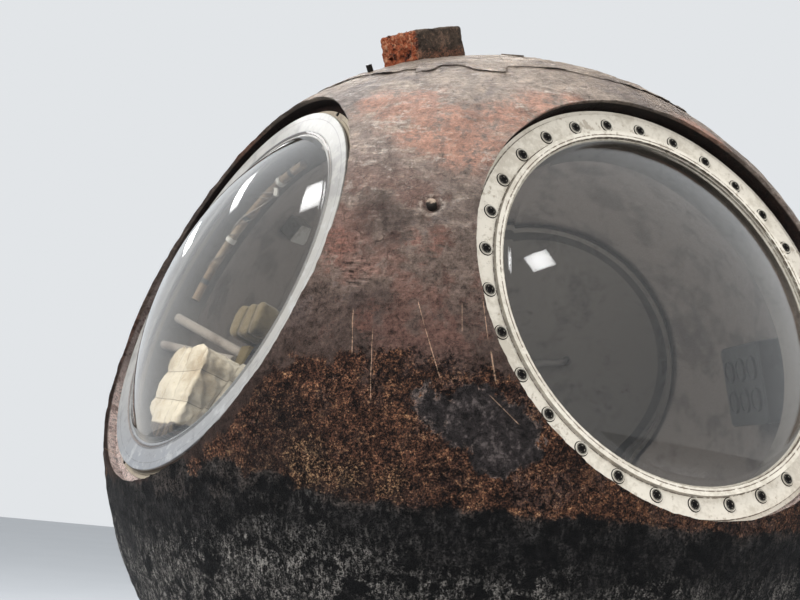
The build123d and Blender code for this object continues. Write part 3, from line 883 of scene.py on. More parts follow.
def blackened(f, colour):
    """Black char round the foot, with a broken edge and ashen streaks."""
    up, grains = f.up, f.grains
    broad, middle, cloud, fine = f.broad, f.middle, f.cloud, f.fine
    wander = middle * 0.008 + fine * 0.004 + broad * 0.006
    black = 1.0 - (up + wander).over(-0.205, -0.192)
    f.black = black.either(spots_mask(f, black_spots, middle * 0.012 + fine * 0.005 + cloud * 0.008, 0.007))
    tone = f.mix(deep_char, char, grains.over(-1.2, 0.3))
    tone = f.mix(tone, shade(72, 68, 67), (grains + cloud * 0.6 + middle * 0.5).over(0.5, 1.9) * 0.6)
    lower = 1.0 - (up + broad * 0.03 + middle * 0.03).over(-0.36, -0.25)
    streak = (f.dribbled * 1.1 + f.grit * 1.1 + fine * 0.2).over(-0.1, 1.1)
    clear = (cloud + middle * 0.9).over(-0.9, 0.2)
    tone = f.mix(tone, ash, streak * clear * (lower * 0.95 + 0.08))
    edge = (up + wander).over(-0.222, -0.204) * grains.over(-0.7, 0.7) * middle.over(-0.5, 0.4)
    tone = f.mix(tone, shade(112, 101, 94), edge * 0.7)
    return f.mix(colour, tone, f.black)


def opened(f, colour):
    """The walls of the openings: pale and granular, with painted light on the low walls and painted shade
    near the top.
    """
    tone = f.mix(shade(188, 170, 162), shade(106, 90, 84), (f.fine * 1.2 + f.cloud * 1.2).over(-0.4, 1.6))
    # painted light and shade: the walls' tone is scaled from 1.9 times low down to 0.75 near the top
    tone = f.scaled(tone, 1.9 - f.up.over(-0.05, 0.15) * 1.15)
    # painted shade: near-black tones on the upper walls, which face down
    char_and_wall_shade = f.mix(shade(46, 31, 26), shade(20, 15, 14), f.fine.over(-0.6, 0.8))
    tone = f.mix(tone, char_and_wall_shade, f.up.over(0.30, 0.55))
    return f.mix(colour, tone, f.depth.over(0.008, 0.014))


def marked(f, colour):
    """The knob's pale halo, a scraped place and the scratches."""
    around_knob = f.distance(f.place, on_ball(*knob_place)) + f.cloud * 0.003
    halo = around_knob.over(0.020, 0.027) * (1.0 - around_knob.over(0.029, 0.040)) * f.fine.over(-0.5, 0.3)
    colour = f.mix(colour, shade(186, 172, 158), halo * 0.55)
    torn = 1.0 - (f.distance(f.way, tuple(scrape_spot)) + f.cloud * 0.002).over(0.028, 0.046)
    f.ridges = f.wave(1.0, 6.0, 0.7, f.stretched(28.0, 28.0, 130.0)) * torn
    lines = scratch_mask(f, f.way) * (f.fine + f.grit * 0.5).over(-1.8, -0.5)
    return f.mix(colour, shade(200, 166, 138), lines * 0.8)


def skin_finish():
    """Everything burnt: skin, opening walls and the cover."""
    f = Skin()
    colour = upper_bands(f)
    for layer in (cracked, rusted, blackened, opened, marked):
        colour = layer(f, colour)
    contrast = f.fine * 0.34 + f.cloud * 0.30 + f.grit * 0.22 + f.brushed * f.up.over(0.05, 0.2) * 0.12
    contrast = (contrast + f.ridges * 0.5) * (f.rusty * 0.5 + 1.0 - f.upper * 0.3)
    contrast = contrast + f.dribbled * f.black * 0.3
    gain = skin_brightness - f.black * (skin_brightness - char_brightness)
    colour = f.scaled(colour, (contrast + 1.0).either(0.12) * gain)
    rough = 0.62 - f.grey * f.rusty * 0.12 + f.grit * 0.04 - f.black * 0.04
    rough = rough + f.up.over(-0.2, 0.1) * 0.08 - f.upper * 0.20
    lumps = f.bump(f.cloud + f.middle * 0.6 + f.fine * 0.5 + f.ridges * 0.8 - f.split * 0.8, 0.0036, 0.9)
    roughness = f.fine + f.grit * 0.6 + f.brushed * 0.4 + f.dribbled * f.black * 0.6
    grain = f.bump(roughness, 0.0010, 0.9, lumps)
    return f.done(f.surface(Base_Color=colour, Roughness=rough, Normal=grain, Specular_IOR_Level=0.2))


skin = skin_finish()
for piece in (body, crown, plug):
    piece.data.materials.clear()
    piece.data.materials.append(skin)
print("skin finish has", len(skin.node_tree.nodes), "nodes")

# %% [markdown]
# ## Clear domes
# A blown dome is a slice of a much bigger ball with a flat rim at its foot. Both walls are
# turned, so light bends through a real thickness. Lamp light passes it unbent, which keeps
# the cabin lit. The left rim is wide and has gone milky.

# %% Domes
dome_height = 0.130
dome_wall = 0.008
# radius of the ball that a dome is a slice of
dome_curve = (coaming_bore**2 + dome_height**2) / (2 * dome_height)
gasket_top = ring_face + 0.008
left_rim_radius, left_rim_top = 0.568, gasket_top + 0.009
right_rim_radius, right_rim_top = 0.503, ring_face + 0.006
wide_rim = 0.03
dome_steps = 160


def dome_outline(rim_radius, rim_bottom, rim_top, steps=28):
    """From the crest down the outside, round the rim and back up the inside."""
    middle = rim_top + dome_height - dome_curve
    inner = dome_curve - dome_wall
    foot = math.asin(coaming_bore / dome_curve)
    inner_foot = math.acos((rim_bottom - middle) / inner)
    outline = [(0, middle + dome_curve)]
    for step in range(1, steps + 1):
        lean = foot * step / steps
        outline.append((dome_curve * math.sin(lean), middle + dome_curve * math.cos(lean)))
    edge = 0.0015
    if rim_radius - coaming_bore > wide_rim:
        # a wide rim has a low ridge round the dome's foot
        ridge, ridge_top = coaming_bore + 0.010, rim_top + 0.003
        outline += [(ridge - 0.004, rim_top), (ridge - 0.002, ridge_top)]
        outline += [(ridge + 0.004, ridge_top), (ridge + 0.006, rim_top)]
    outline += [(rim_radius - edge, rim_top), (rim_radius, rim_top - edge)]
    outline += [(rim_radius, rim_bottom + edge), (rim_radius - edge, rim_bottom)]
    for step in range(steps, 0, -1):
        lean = inner_foot * step / steps
        outline.append((inner * math.sin(lean), middle + inner * math.cos(lean)))
    outline.append((0, middle + inner))
    return outline


def glass_finish():
    """Clear plastic: mirrors faintly, lets lamp light straight through."""
    f = Finish("clear dome")
    smear = f.noise(6.0, 6.0, 0.6, distortion=0.8).over(0.45, 0.75)
    rough = smear * 0.035 + 0.01
    clear = f.surface(Base_Color=(0.93, 0.93, 0.92), Roughness=rough, IOR=1.49, Transmission_Weight=1.0)
    through = f.add("ShaderNodeBsdfTransparent", {}, {"Color": (0.90, 0.90, 0.89)})
    lamp_ray = f.add("ShaderNodeLightPath", {}, {}, "Is Shadow Ray")
    mixed = f.add("ShaderNodeMixShader", {}, {0: lamp_ray, 1: clear, 2: through})
    return f.done(mixed)


def milky_finish():
    """The weathered rim of the left dome: cloudy, bluish and see-through low down."""
    f = Finish("milky rim")
    cloud = f.wave(5.0, 6.0, 0.62, distortion=0.5)
    streak = f.wave(34.0, 7.0, 0.72, distortion=0.4)
    low_down = 1.0 - (f.part("Z") + cloud * 0.03).over(0.85, 1.35)
    tone = f.mix(shade(140, 136, 129), shade(98, 102, 109), low_down * 0.85)
    tone = f.mix(tone, shade(52, 50, 53), (cloud + streak * 0.8).over(0.1, 1.4) * (low_down * 0.4 + 0.35))
    turned_lines = f.grooves("left", ((0.497, 0.0015), (0.506, 0.0012), (0.547, 0.0010)))
    tone = f.mix(tone, shade(68, 65, 64), turned_lines * 0.7)
    tone = f.mix(tone, shade(166, 165, 163), (streak - cloud * 0.5).over(0.5, 1.6) * 0.5)
    bump = f.bump(cloud + streak * 0.2, 0.0005, 0.5)
    return f.done(f.surface(Base_Color=tone, Roughness=0.28, Transmission_Weight=0.35, IOR=1.45,
                            Coat_Weight=0.3, Coat_Roughness=0.1, Normal=bump))


glass, milky = glass_finish(), milky_finish()
left_dome = turned("left_dome", hatch_frames["left"],
                   dome_outline(left_rim_radius, gasket_top, left_rim_top), dome_steps)
right_dome = turned("right_dome", hatch_frames["right"],
                    dome_outline(right_rim_radius, ring_face, right_rim_top), dome_steps)
for piece, node in ((left_dome, "dome_left"), (right_dome, "dome_right")):
    piece.data.materials.append(glass)
    piece.data.materials.append(milky)
    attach(smooth(piece, 40), "capsule")
    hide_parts(node)
into_left = hatch_frames["left"].inverted()
for face in left_dome.data.polygons:
    spot = into_left @ face.center
    if math.hypot(spot.x, spot.y) > coaming_bore + 0.002 and spot.z < left_rim_top + 0.003:
        face.material_index = 1
print("domes:", len(left_dome.data.polygons), "faces each")

# %% [markdown]
# ## Rings and their fasteners
# The right ring is cast metal under old cream paint, with thirty bushings. A small node
# tree sets copies of one small piece round a circle. The same tree places the rivets
# and the little screws outside the left rim.

# %% A tree that repeats a piece round a circle
def circle_tree():
    """Copies a small piece round a circle, each turned to face outwards."""
    tree = bpy.data.node_groups.new("round a circle", "GeometryNodeTree")
    kinds = {"Piece": "Object", "Count": "Int", "Radius": "Float", "Start": "Float", "Step": "Float",
             "Finish": "Material"}
    for name, kind in kinds.items():
        tree.interface.new_socket(name, in_out="INPUT", socket_type="NodeSocket" + kind)
    tree.interface.new_socket("Geometry", in_out="OUTPUT", socket_type="NodeSocketGeometry")

    def node(kind, settings, wires, output=0):
        made = tree.nodes.new(kind)
        for key, value in settings.items():
            setattr(made, key, value)
        for key, value in wires.items():
            if isinstance(value, bpy.types.NodeSocket):
                tree.links.new(value, made.inputs[key])
            else:
                made.inputs[key].default_value = value
        return made.outputs[output]

    given = tree.nodes.new("NodeGroupInput").outputs
    line = node("GeometryNodeMeshLine", {"mode": "OFFSET"}, {"Count": given["Count"], "Offset": (0, 0, 0)})
    index = node("GeometryNodeInputIndex", {}, {})
    angles = {0: index, 1: given["Step"], 2: given["Start"]}
    turn = node("ShaderNodeMath", {"operation": "MULTIPLY_ADD"}, angles)
    across = node("ShaderNodeMath", {"operation": "COSINE"}, {0: turn})
    upward = node("ShaderNodeMath", {"operation": "SINE"}, {0: turn})
    spot = node("ShaderNodeCombineXYZ", {}, {0: across, 1: upward})
    reach = node("ShaderNodeVectorMath", {"operation": "SCALE"}, {0: spot, 3: given["Radius"]})
    placed = node("GeometryNodeSetPosition", {}, {"Geometry": line, "Position": reach})
    spin = node("ShaderNodeCombineXYZ", {}, {2: turn})
    own_place = {"transform_space": "ORIGINAL"}
    piece = node("GeometryNodeObjectInfo", own_place, {"Object": given["Piece"]}, "Geometry")
    wires = {"Points": placed, "Instance": piece, "Rotation": spin}
    copies = node("GeometryNodeInstanceOnPoints", {}, wires)
    real = node("GeometryNodeRealizeInstances", {}, {"Geometry": copies})
    worn = node("GeometryNodeSetMaterial", {}, {"Geometry": real, "Material": given["Finish"]})
    tree.links.new(worn, tree.nodes.new("NodeGroupOutput").inputs["Geometry"])
    return tree


round_tree = circle_tree()


def repeated(name, small, material, place, count, radius, start, step):
    """Runs the tree, keeps its result as a mesh in a hatch's frame and drops the small piece."""
    carrier = make_object(name, bpy.data.meshes.new(name))
    run = carrier.modifiers.new("copies", "NODES")
    run.node_group = round_tree
    values = {"Piece": small, "Count": count, "Radius": radius, "Start": math.radians(start),
              "Step": math.radians(step), "Finish": material}
    for item in round_tree.interface.items_tree:
        if item.in_out == "INPUT":
            run[item.identifier] = values[item.name]
    applied(carrier).data.transform(place)
    discard(small)
    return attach(smooth(carrier), "capsule")


# %% [markdown]
# ## Metal and paint
# The small metal parts differ only in tone, polish and grain, so one function makes them
# all. The two rings also show fine turned lines, which a second function draws as thin
# circles round the hatchway, dark with old dirt.

# %% Metal finishes
def metal(name, tone, worn, rough, shine, grain=90.0, stain=None, depth=0.0006):
    """Bare or painted metal with cloudy wear and a little grime."""
    f = Finish(name)
    cloud = f.noise(7.0, 6.0, 0.62, distortion=0.3) - 0.5
    fine = f.noise(grain, 5.0, 0.7) - 0.5
    colour = f.mix(tone, worn, (cloud + fine * 0.6).over(-0.02, 0.26))
    colour = f.mix(colour, stain or worn, (fine - cloud).over(0.16, 0.34) * 0.7)
    bump = f.bump(f.noise(grain, 6.0, 0.7), depth, 0.6)
    return f.done(f.surface(Base_Color=colour, Roughness=fine * 0.25 + rough, Metallic=shine, Normal=bump))


def grooved(name, base, worn, stain, hatch, grooves, tone):
    """Painted metal with dark lines at some radii round a hatchway."""
    f = Finish(name)
    cloud = f.wave(7.0, 6.0, 0.62, distortion=0.3)
    fine = f.wave(60.0, 5.0, 0.7)
    colour = f.mix(base, worn, (cloud + fine * 0.6).over(-0.3, 1.6))
    colour = f.mix(colour, stain, (fine - cloud).over(1.0, 2.0) * 0.6)
    lines = f.grooves(hatch, grooves) * (fine + 1.6).over(0.4, 1.6)
    colour = f.mix(colour, tone, lines * 0.85)
    bump = f.bump(fine - lines * 2.0, 0.0005, 0.6)
    return f.done(f.surface(Base_Color=colour, Roughness=fine * 0.03 + 0.48, Metallic=0.2, Normal=bump))


def knob_finish():
    """Dark metal, painted pale on its upper side where it is lit and near black below as painted shade."""
    f = Finish("knob with painted light and shade")
    low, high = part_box("knob_stub")
    middle, reach = (low[2] + high[2]) / 2, (high[2] - low[2]) / 2
    grain = f.wave(120.0, 5.0, 0.7)
    # painted light and shade: pale from the knob's middle upwards, near black below
    upper = ((f.part("Z") - middle) * (1 / reach) + grain * 0.15).over(0.1, 0.6)
    tone = f.mix(shade(24, 20, 17), shade(128, 112, 98), upper)
    return f.done(f.surface(Base_Color=tone, Roughness=0.7, Normal=f.bump(grain, 0.0006, 0.6)))


# radius and half width of each turned line
ring_grooves = ((0.4955, 0.0012), (0.504, 0.0014), (0.5175, 0.0012), (0.5745, 0.0010))
lined_ring = grooved("lined cream ring", shade(200, 193, 180), shade(180, 172, 158), shade(138, 126, 110),
                     "right", ring_grooves, shade(70, 53, 40))
old_paint = metal("old yellow paint", shade(125, 115, 100), shade(94, 83, 71), 0.5, 0.1, 70.0,
                  shade(58, 49, 38))
neck_metal = metal("neck metal", shade(106, 100, 93), shade(80, 74, 68), 0.42, 0.35, 50.0,
                   shade(62, 53, 44))
steel = metal("bushing steel", shade(122, 118, 109), shade(88, 82, 73), 0.30, 0.3, 220.0,
              shade(41, 35, 31))
dark_steel = metal("dark steel", shade(26, 23, 20), shade(14, 12, 11), 0.50, 0.5, 160.0)
# painted shade: near-black for the plugs in the bushings' holes and the rings round the collars
shade_black = metal("near-black shade", shade(9, 7, 7), shade(14, 11, 10), 0.8, 0.2)
seat_metal = metal("seat metal", shade(80, 80, 77), shade(56, 55, 52), 0.4, 0.6, 60.0)
rubber = metal("gasket rubber", shade(126, 112, 104), shade(92, 80, 74), 0.7, 0.0, 120.0)
brass = metal("brass", shade(143, 124, 79), shade(109, 89, 53), 0.35, 0.8, 120.0)
grip_paint = metal("grip paint", shade(97, 92, 87), shade(86, 82, 77), 0.55, 0.1, 40.0, depth=0.0001)


def dress(material, *names):
    """Gives CAD pieces a finish."""
    for name in names:
        nodes[name].data.materials.clear()
        nodes[name].data.materials.append(material)


dress(lined_ring, "bolt_ring_right", "retainer_right")
dress(old_paint, "bolt_ring_left")
dress(neck_metal, "coaming_left", "coaming_right", "coaming_rear", "bolt_ring_rear", "rear_cover_plate")
dress(dark_steel, "guide_pin")
dress(grip_paint, "rear_cover_grip")
dress(knob_finish(), "knob_stub")
dress(seat_metal, "seat_rails", "seat_pan", "head_stem", "bundle_clips")
dress(rubber, "gasket_left")
dress(brass, "hose_connector")

# %% [markdown]
# ## Bushings, rivets and screws
# Each of the thirty holes in the right ring has a steel collar and a dark disc with a keyed hole;
# a black plug in the hole is painted shade, and a thin black ring round the collar is a painted
# shadow. Outlines of radius and height in millimetres make the small pieces, and the tree sets them round.

# %% Small turned pieces on their circles
mm = 0.001
disc_steps = 48
disc_radius, disc_hole, tooth_depth = 12.4 * mm, 5.2 * mm, 3.6 * mm
disc_low, disc_high = -1.0 * mm, 1.6 * mm


def small_turned(name, points, steps=28):
    """A small turned piece from an outline in millimetres."""
    return turned(name, Matrix.Identity(4), [(r * mm, h * mm) for r, h in points], steps)


def keyed_disc():
    """A dark disc with a key's four teeth cut into its hole."""
    shape = bmesh.new()
    turns = [2 * math.pi * step / disc_steps for step in range(disc_steps)]
    outside = [disc_radius] * disc_steps
    inside = [disc_hole + (tooth_depth if step % 12 < 5 else 0.0) for step in range(disc_steps)]
    rings = []
    for edge, height in ((outside, disc_low), (outside, disc_high), (inside, disc_high), (inside, disc_low)):
        rings.append([shape.verts.new(on_circle(turn, reach, height)) for turn, reach in zip(turns, edge)])
    for low, high in zip(rings, rings[1:] + rings[:1]):
        bridge(shape, low, high)
    bmesh.ops.recalc_face_normals(shape, faces=shape.faces)
    return built("keyed disc", shape)


collar = [(12.2, 0.2), (12.2, 3.2), (12.8, 4.0), (14.2, 4.2), (15.0, 3.6), (15.4, 2.2), (16.4, 2.2),
          (17.3, 1.8), (17.3, 0.2)]
pit = [(0, -8.0), (8.4, -8.0), (8.4, 0.3), (0, 0.3)]
# painted shadow: a thin black ring, 0.5 mm proud of the paint, round each collar
gap = [(17.2, 0.0), (17.2, 0.5), (19.4, 0.5), (19.4, 0.0), (17.2, 0.0)]
rivet = [(0, 0), (4.2, 0), (4.0, 1.4), (2.6, 2.6), (0, 3.0)]
screw = [(0, 0), (6.5, 0), (6.5, 2.6), (5.0, 3.4), (3.0, 3.4), (2.6, 2.2), (0, 2.2)]
# place, count, radius, first one's angle and the step between two
on_bolts = (on_hatch("right", ring_face), bolt_count, bolt_circle, bolt_phase, 360 / bolt_count)
on_retainer = (on_hatch("right", ring_face + 0.0045), 6, 0.5125, 57.2, 360 / 6)
beside_flange = (on_hatch("left", ring_face - 0.004), 14, 0.5795, -85.3, 360 / 14)
bushings = repeated("ring_bushings", small_turned("collar", collar), steel, *on_bolts)
sockets = repeated("bushing_sockets", keyed_disc(), dark_steel, *on_bolts)
# painted shade: a black plug in each keyed hole stands in for the dark of the hole
pits = repeated("bushing_bores", small_turned("pit", pit), shade_black, *on_bolts)
# painted shadow round each bushing, in near-black
shade_rings = repeated("bushing_gaps", small_turned("gap", gap), shade_black, *on_bolts)
for piece in (sockets, pits):
    piece.data.transform(Matrix.Translation(direction(*hatches["right"][:2]) * 1.5 * mm))
rivets = repeated("ring_rivets", small_turned("rivet", rivet, 16), steel, *on_retainer)
screws = repeated("rim_screws", small_turned("screw", screw, 20), dark_steel, *beside_flange)
fasteners = (bushings, sockets, pits, shade_rings, rivets, screws)
print("fasteners:", sum(len(piece.data.polygons) for piece in fasteners), "faces")

# %% [markdown]
# ## The block on the crown
# A cable block stands on the crown, torn off short. Its stuff is the shield's own, so its
# left face shows the raw red inside, and the rest is sooty.

# %% Umbilical block
block_size = Vector((0.177, 0.198, 0.088))
block_face_size = 0.0035
block_frame = facing(-28.1, 71.0, ball_radius, -9.0)


def merged_copy(node, name):
    """The node's own shape as one closed skin, free to be reshaped."""
    piece = make_object(name, nodes[node].data.copy())
    shape = bmesh.new()
    shape.from_mesh(piece.data)
    bmesh.ops.remove_doubles(shape, verts=shape.verts, dist=0.00002)
    shape.to_mesh(piece.data)
    shape.free()
    piece.data.materials.clear()
    return piece


def remeshed(piece, size):
    """The same shape in even small faces."""
    even = piece.modifiers.new("even", "REMESH")
    even.mode = "VOXEL"
    even.voxel_size = size
    return applied(piece)


def broken_block():
    """The block with rough sides, worn corners and one torn end."""
    piece = remeshed(merged_copy("umbilical_block", "torn_block"), block_face_size)
    into_block = block_frame.inverted()
    for vert in piece.data.vertices:
        spot = into_block @ vert.co
        torn = max(0.0, min(1.0, (-spot.y - block_size.y / 2 + 0.022) / 0.02))
        push = layered(spot, 22, 4) * 0.0016 + layered(spot, 70, 2) * 0.0006
        push += torn * (layered(spot + Vector((1, 1, 1)), 34, 4) * 0.0065 - 0.003)
        corner = max(0.0, layered(spot, 9, 2) - 0.15) * 0.012 * max(0.0, min(1.0, spot.z / block_size.z))
        vert.co += vert.normal * (push - corner)
    return piece


def block_finish():
    """Red where it is torn, sooty elsewhere."""
    f = Finish("torn block")
    back, height = f.in_frame(block_frame)[1:]
    fine = f.wave(60.0, 8.0, 0.75)
    grit = f.wave(220.0, 3.0, 0.7)
    cloud = f.wave(16.0, 8.0, 0.68, distortion=0.3)
    sooty = f.mix(shade(67, 56, 47), shade(31, 25, 22), (cloud + fine * 0.5).over(-0.6, 0.9))
    sooty = f.mix(sooty, shade(103, 80, 67), (fine - cloud).over(0.6, 1.6) * 0.5)
    crust = (1.0 - (height + cloud * 0.008).over(0.012, 0.030)) * (fine + grit).over(-0.5, 0.6)
    sooty = f.mix(sooty, shade(109, 70, 53), crust * 0.6)
    raw = f.mix(shade(119, 61, 38), shade(46, 26, 22), (cloud + fine * 1.2).over(-0.3, 1.1))
    raw = f.mix(raw, shade(131, 100, 77), (fine * 1.2 + grit * 0.6 - cloud).over(0.9, 1.8) * 0.55)
    torn = (cloud * 0.004 + fine * 0.003 - back).over(block_size.y / 2 - 0.018, block_size.y / 2 - 0.010)
    colour = f.mix(sooty, raw, torn)
    colour = f.scaled(colour, (fine * 0.3 + grit * 0.2 + 1.0).either(0.2) * 0.95)
    bump = f.bump(fine + grit * 0.3, 0.0016, 0.9)
    return f.done(f.surface(Base_Color=colour, Roughness=0.85, Normal=bump))


block = broken_block()
block.data.materials.append(block_finish())
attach(smooth(block, 60), "capsule")
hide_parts("umbilical_block")
dress(skin, "vent_disc")
print("block:", len(block.data.polygons), "faces")

# %% [markdown]
# ## Cloth in the cabin
# Behind the left dome lies a big quilted cushion in cream cloth. Its seams are pinned and
# the cloth between them is blown up a little, so each field puffs and wrinkles by itself.
# The head pad and the seat pad are made the same way.

# %% Blown cloth
left_frame = hatch_frames["left"]
cloth_frames = 20
cloth_pressure = 3.0
seam_width = 0.006


def softened(mesh, times):
    """Evens out a mesh's small bumps."""
    axes = {"use_axis_x": True, "use_axis_y": True, "use_axis_z": True}
    shape = bmesh.new()
    shape.from_mesh(mesh)
    for again in range(times):
        bmesh.ops.smooth_vert(shape, verts=shape.verts, factor=0.5, **axes)
    shape.to_mesh(mesh)
    shape.free()


def blow_up(piece, held, pressure, cap):
    """Cloth under pressure, held at its seams, with no point moved further than a cap."""
    start = [vert.co.copy() for vert in piece.data.vertices]
    cloth = piece.modifiers.new("cloth", "CLOTH")
    cloth.settings.use_pressure = True
    cloth.settings.uniform_pressure_force = pressure
    cloth.settings.effector_weights.gravity = 0.0
    cloth.settings.vertex_group_mass = held.name
    cloth.settings.quality = 5
    cloth.settings.tension_stiffness = cloth.settings.compression_stiffness = 25
    cloth.settings.bending_stiffness = 5
    cloth.settings.mass = 0.3
    cloth.collision_settings.use_self_collision = False
    cloth.point_cache.frame_start, cloth.point_cache.frame_end = 1, cloth_frames
    for moment in range(1, cloth_frames + 1):
        bpy.context.scene.frame_set(moment)
    applied(piece)
    for vert, was in zip(piece.data.vertices, start):
        step = vert.co - was
        if step.length > cap:
            vert.co = was + step * (cap / step.length)
    bpy.context.scene.frame_set(1)


def pillow(name, node, seams, shrink, cap, size=0.006, puff=0.004, evened=5):
    """Padded piece: the node's shape drawn in, its seams held, the fields blown up."""
    piece = remeshed(merged_copy(node, name), size)
    into = left_frame.inverted()
    held = piece.vertex_groups.new(name="seams")
    for vert in piece.data.vertices:
        vert.co -= vert.normal * shrink
    near = []
    for vert in piece.data.vertices:
        spot = into @ vert.co
        near.append(min(abs(seam(*spot)) for seam in seams))
        if near[-1] < seam_width:
            held.add([vert.index], 1.0, "REPLACE")
    blow_up(piece, held, cloth_pressure, cap)
    mesh = piece.data
    softened(mesh, evened)
    for vert, gap in zip(mesh.vertices, near):
        crease = math.exp(-((gap / 0.009) ** 2)) * 0.0045 - (1 - math.exp(-((gap / 0.035) ** 2))) * puff
        tuck = math.exp(-((gap / 0.04) ** 2)) * layered(into @ vert.co, 38, 3) * 0.0024
        vert.co -= vert.normal * (crease + tuck)
    piece.vertex_groups.clear()
    soften = piece.modifiers.new("soften", "SUBSURF")
    soften.levels = soften.render_levels = 1
    mesh.polygons.foreach_set("use_smooth", [True] * len(mesh.polygons))
    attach(piece, "capsule")
    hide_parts(node)
    return piece


def fabric(name, tone, shadow, stain, weave=900.0, rough=0.9, seams=(), seam_shade=None,
           half=0.0012, band=False):
    """Woven cloth with grime, painted shade along its seams or straps, and a striped band painted dark as
    shade at the cushion's foot.
    """
    f = Finish(name)
    cloud = f.wave(9.0, 5.0, 0.6)
    thread = f.wave(weave, 2.0, 0.6)
    x, y, z = f.in_frame(left_frame)
    colour = f.mix(tone, shadow, (cloud + thread * 0.3).over(-0.2, 1.4))
    colour = f.mix(colour, stain, f.wave(4.0, 6.0, 0.7).over(0.2, 1.4) * 0.6)
    # partly painted shade: a striped band painted dark on the cushion's lowest part, as the shade below it
    if band:
        stripe = (x * 330.0 + cloud * 1.2).maths("SINE").over(-0.3, 0.3)
        striped = f.mix(shade(88, 76, 64), shade(43, 37, 34), stripe)
        colour = f.mix(colour, striped, 1.0 - (y + cloud * 0.003).over(-0.404, -0.396))
    # painted shade: dark lines along the seams, where the cloth creases
    for seam in seams:
        off = (seam(x, y, z) + cloud * 0.0008).unsigned()
        colour = f.mix(colour, seam_shade, (1.0 - off.over(half * 0.5, half * 1.5)) * 0.7)
    bump = f.bump(thread, 0.0001, 0.5, f.bump(f.wave(40.0, 5.0, 0.6), 0.0009, 0.5))
    return f.done(f.surface(Base_Color=colour, Roughness=rough, Sheen_Weight=0.1, Normal=bump))


quilt_seams = [
    # across, up and out in the left hatchway's frame; zero on the seam
    lambda x, y, z: y + 0.235 - (x + 0.19) * (x + 0.19) * 0.25,
    lambda x, y, z: y + 0.325 + (x + 0.19) * 0.06,
    lambda x, y, z: x + 0.265 - (y + 0.3) * 0.10,
    lambda x, y, z: x + 0.175 + (y + 0.3) * 0.22,
    lambda x, y, z: x + 0.100 - (y + 0.3) * 0.12,
    lambda x, y, z: z + (y + 0.3) * 0.2 - 0.790,
]
pack_seams = [lambda x, y, z: x + 0.165, lambda x, y, z: x + 0.095 + (y + 0.02) * 0.2]
pad_seams = [lambda x, y, z: z - 0.30, lambda x, y, z: z - 0.46, lambda x, y, z: x + 0.15]
cream_cloth = fabric("cream quilting", shade(188, 176, 155), shade(165, 150, 126), shade(148, 129, 102),
                     seams=quilt_seams, seam_shade=shade(68, 55, 40), band=True)
khaki_cloth = fabric("khaki cloth", shade(97, 85, 64), shade(64, 55, 40), shade(43, 37, 29),
                     seams=pack_seams, seam_shade=shade(43, 37, 28), half=0.007)
pad_cloth = fabric("pad cloth", shade(92, 83, 67), shade(65, 56, 44), shade(46, 40, 32))
hose_cloth = fabric("hose sleeve", shade(128, 119, 109), shade(95, 85, 76), shade(71, 62, 55))
wrap_cloth = fabric("cable wrap", shade(115, 98, 79), shade(68, 55, 41), shade(139, 127, 110))
liner_cloth = fabric("cabin lining", shade(119, 111, 104), shade(97, 89, 83), shade(80, 74, 70), 500.0, 0.8)
cushion = pillow("quilt_cushion", "quilted_cushion", quilt_seams, shrink=0.010, cap=0.024,
                 size=0.007, puff=0.007)
pack = pillow("khaki_pack", "head_pad", pack_seams, shrink=0.006, cap=0.014, puff=0.008, evened=16)
seat_pad = pillow("seat_padding", "seat_pad", pad_seams, shrink=0.006, cap=0.012, size=0.014)
for piece, cloth in ((cushion, cream_cloth), (pack, khaki_cloth), (seat_pad, pad_cloth)):
    piece.data.materials.append(cloth)
print("cushion:", len(cushion.data.polygons), "faces before softening")

# %% [markdown]
# ## Sleeves, linings and boxes
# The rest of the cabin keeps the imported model's shapes. The hoses, the cable bundle and the
# lining get cloth, and the deck, panel and boxes behind them plain worn paint.

# %% Sleeves, linings and boxes
dress(hose_cloth, "suit_hoses")
dress(wrap_cloth, "cable_bundle")
dress(liner_cloth, "cabin_liner", "mouth_lining")
deck_plate = metal("deck plate", shade(79, 77, 74), shade(66, 65, 62), 0.6, 0.2, 25.0, depth=0.0002)
box_grey = metal("box grey", shade(68, 70, 70), shade(49, 49, 49), 0.5, 0.1, 70.0)
box_dark = metal("box dark", shade(43, 43, 44), shade(29, 29, 31), 0.5, 0.2, 70.0)
box_pale = metal("box pale", shade(151, 148, 142), shade(122, 116, 109), 0.6, 0.0, 70.0)
dress(deck_plate, "cabin_deck")
dress(box_grey, "instrument_panel", "supply_box_low", "radio_box")
dress(box_dark, "supply_box_high")
dress(box_pale, "lamp_box")

# %% [markdown]
# ## Trim on the cable bundle
# Thin wires wind round the bundle, a white strap ties it and a white tag hangs on it.
# A tube is swept along a list of points, and a strap is a very short thick tube.

# %% Wires, strap and tag
bundle_ring, bundle_out = 0.4745, coaming_face - 0.059


def on_bundle(turn, lift, spin):
    """A place beside the bundle: degrees round the mouth, lift off its middle, degrees round it."""
    a, b = math.radians(turn), math.radians(spin)
    reach = bundle_ring - lift * math.cos(b)
    return left_frame @ Vector((reach * math.cos(a), reach * math.sin(a), bundle_out + lift * math.sin(b)))


def tube(shape, path, thick, sides=8):
    """Adds a closed tube along a path to a mesh under construction."""
    turns = [2 * math.pi * step / sides for step in range(sides)]
    side = (path[1] - path[0]).normalized().orthogonal()
    rings = []
    for index, spot in enumerate(path):
        ahead = (path[min(index + 1, len(path) - 1)] - path[max(index - 1, 0)]).normalized()
        side = (side - ahead * side.dot(ahead)).normalized()
        other = ahead.cross(side)
        arms = [side * math.cos(turn) + other * math.sin(turn) for turn in turns]
        rings.append([shape.verts.new(spot + arm * thick) for arm in arms])
    for one, two in zip(rings, rings[1:]):
        bridge(shape, one, two)
    shape.faces.new(rings[0][::-1])
    shape.faces.new(rings[-1])


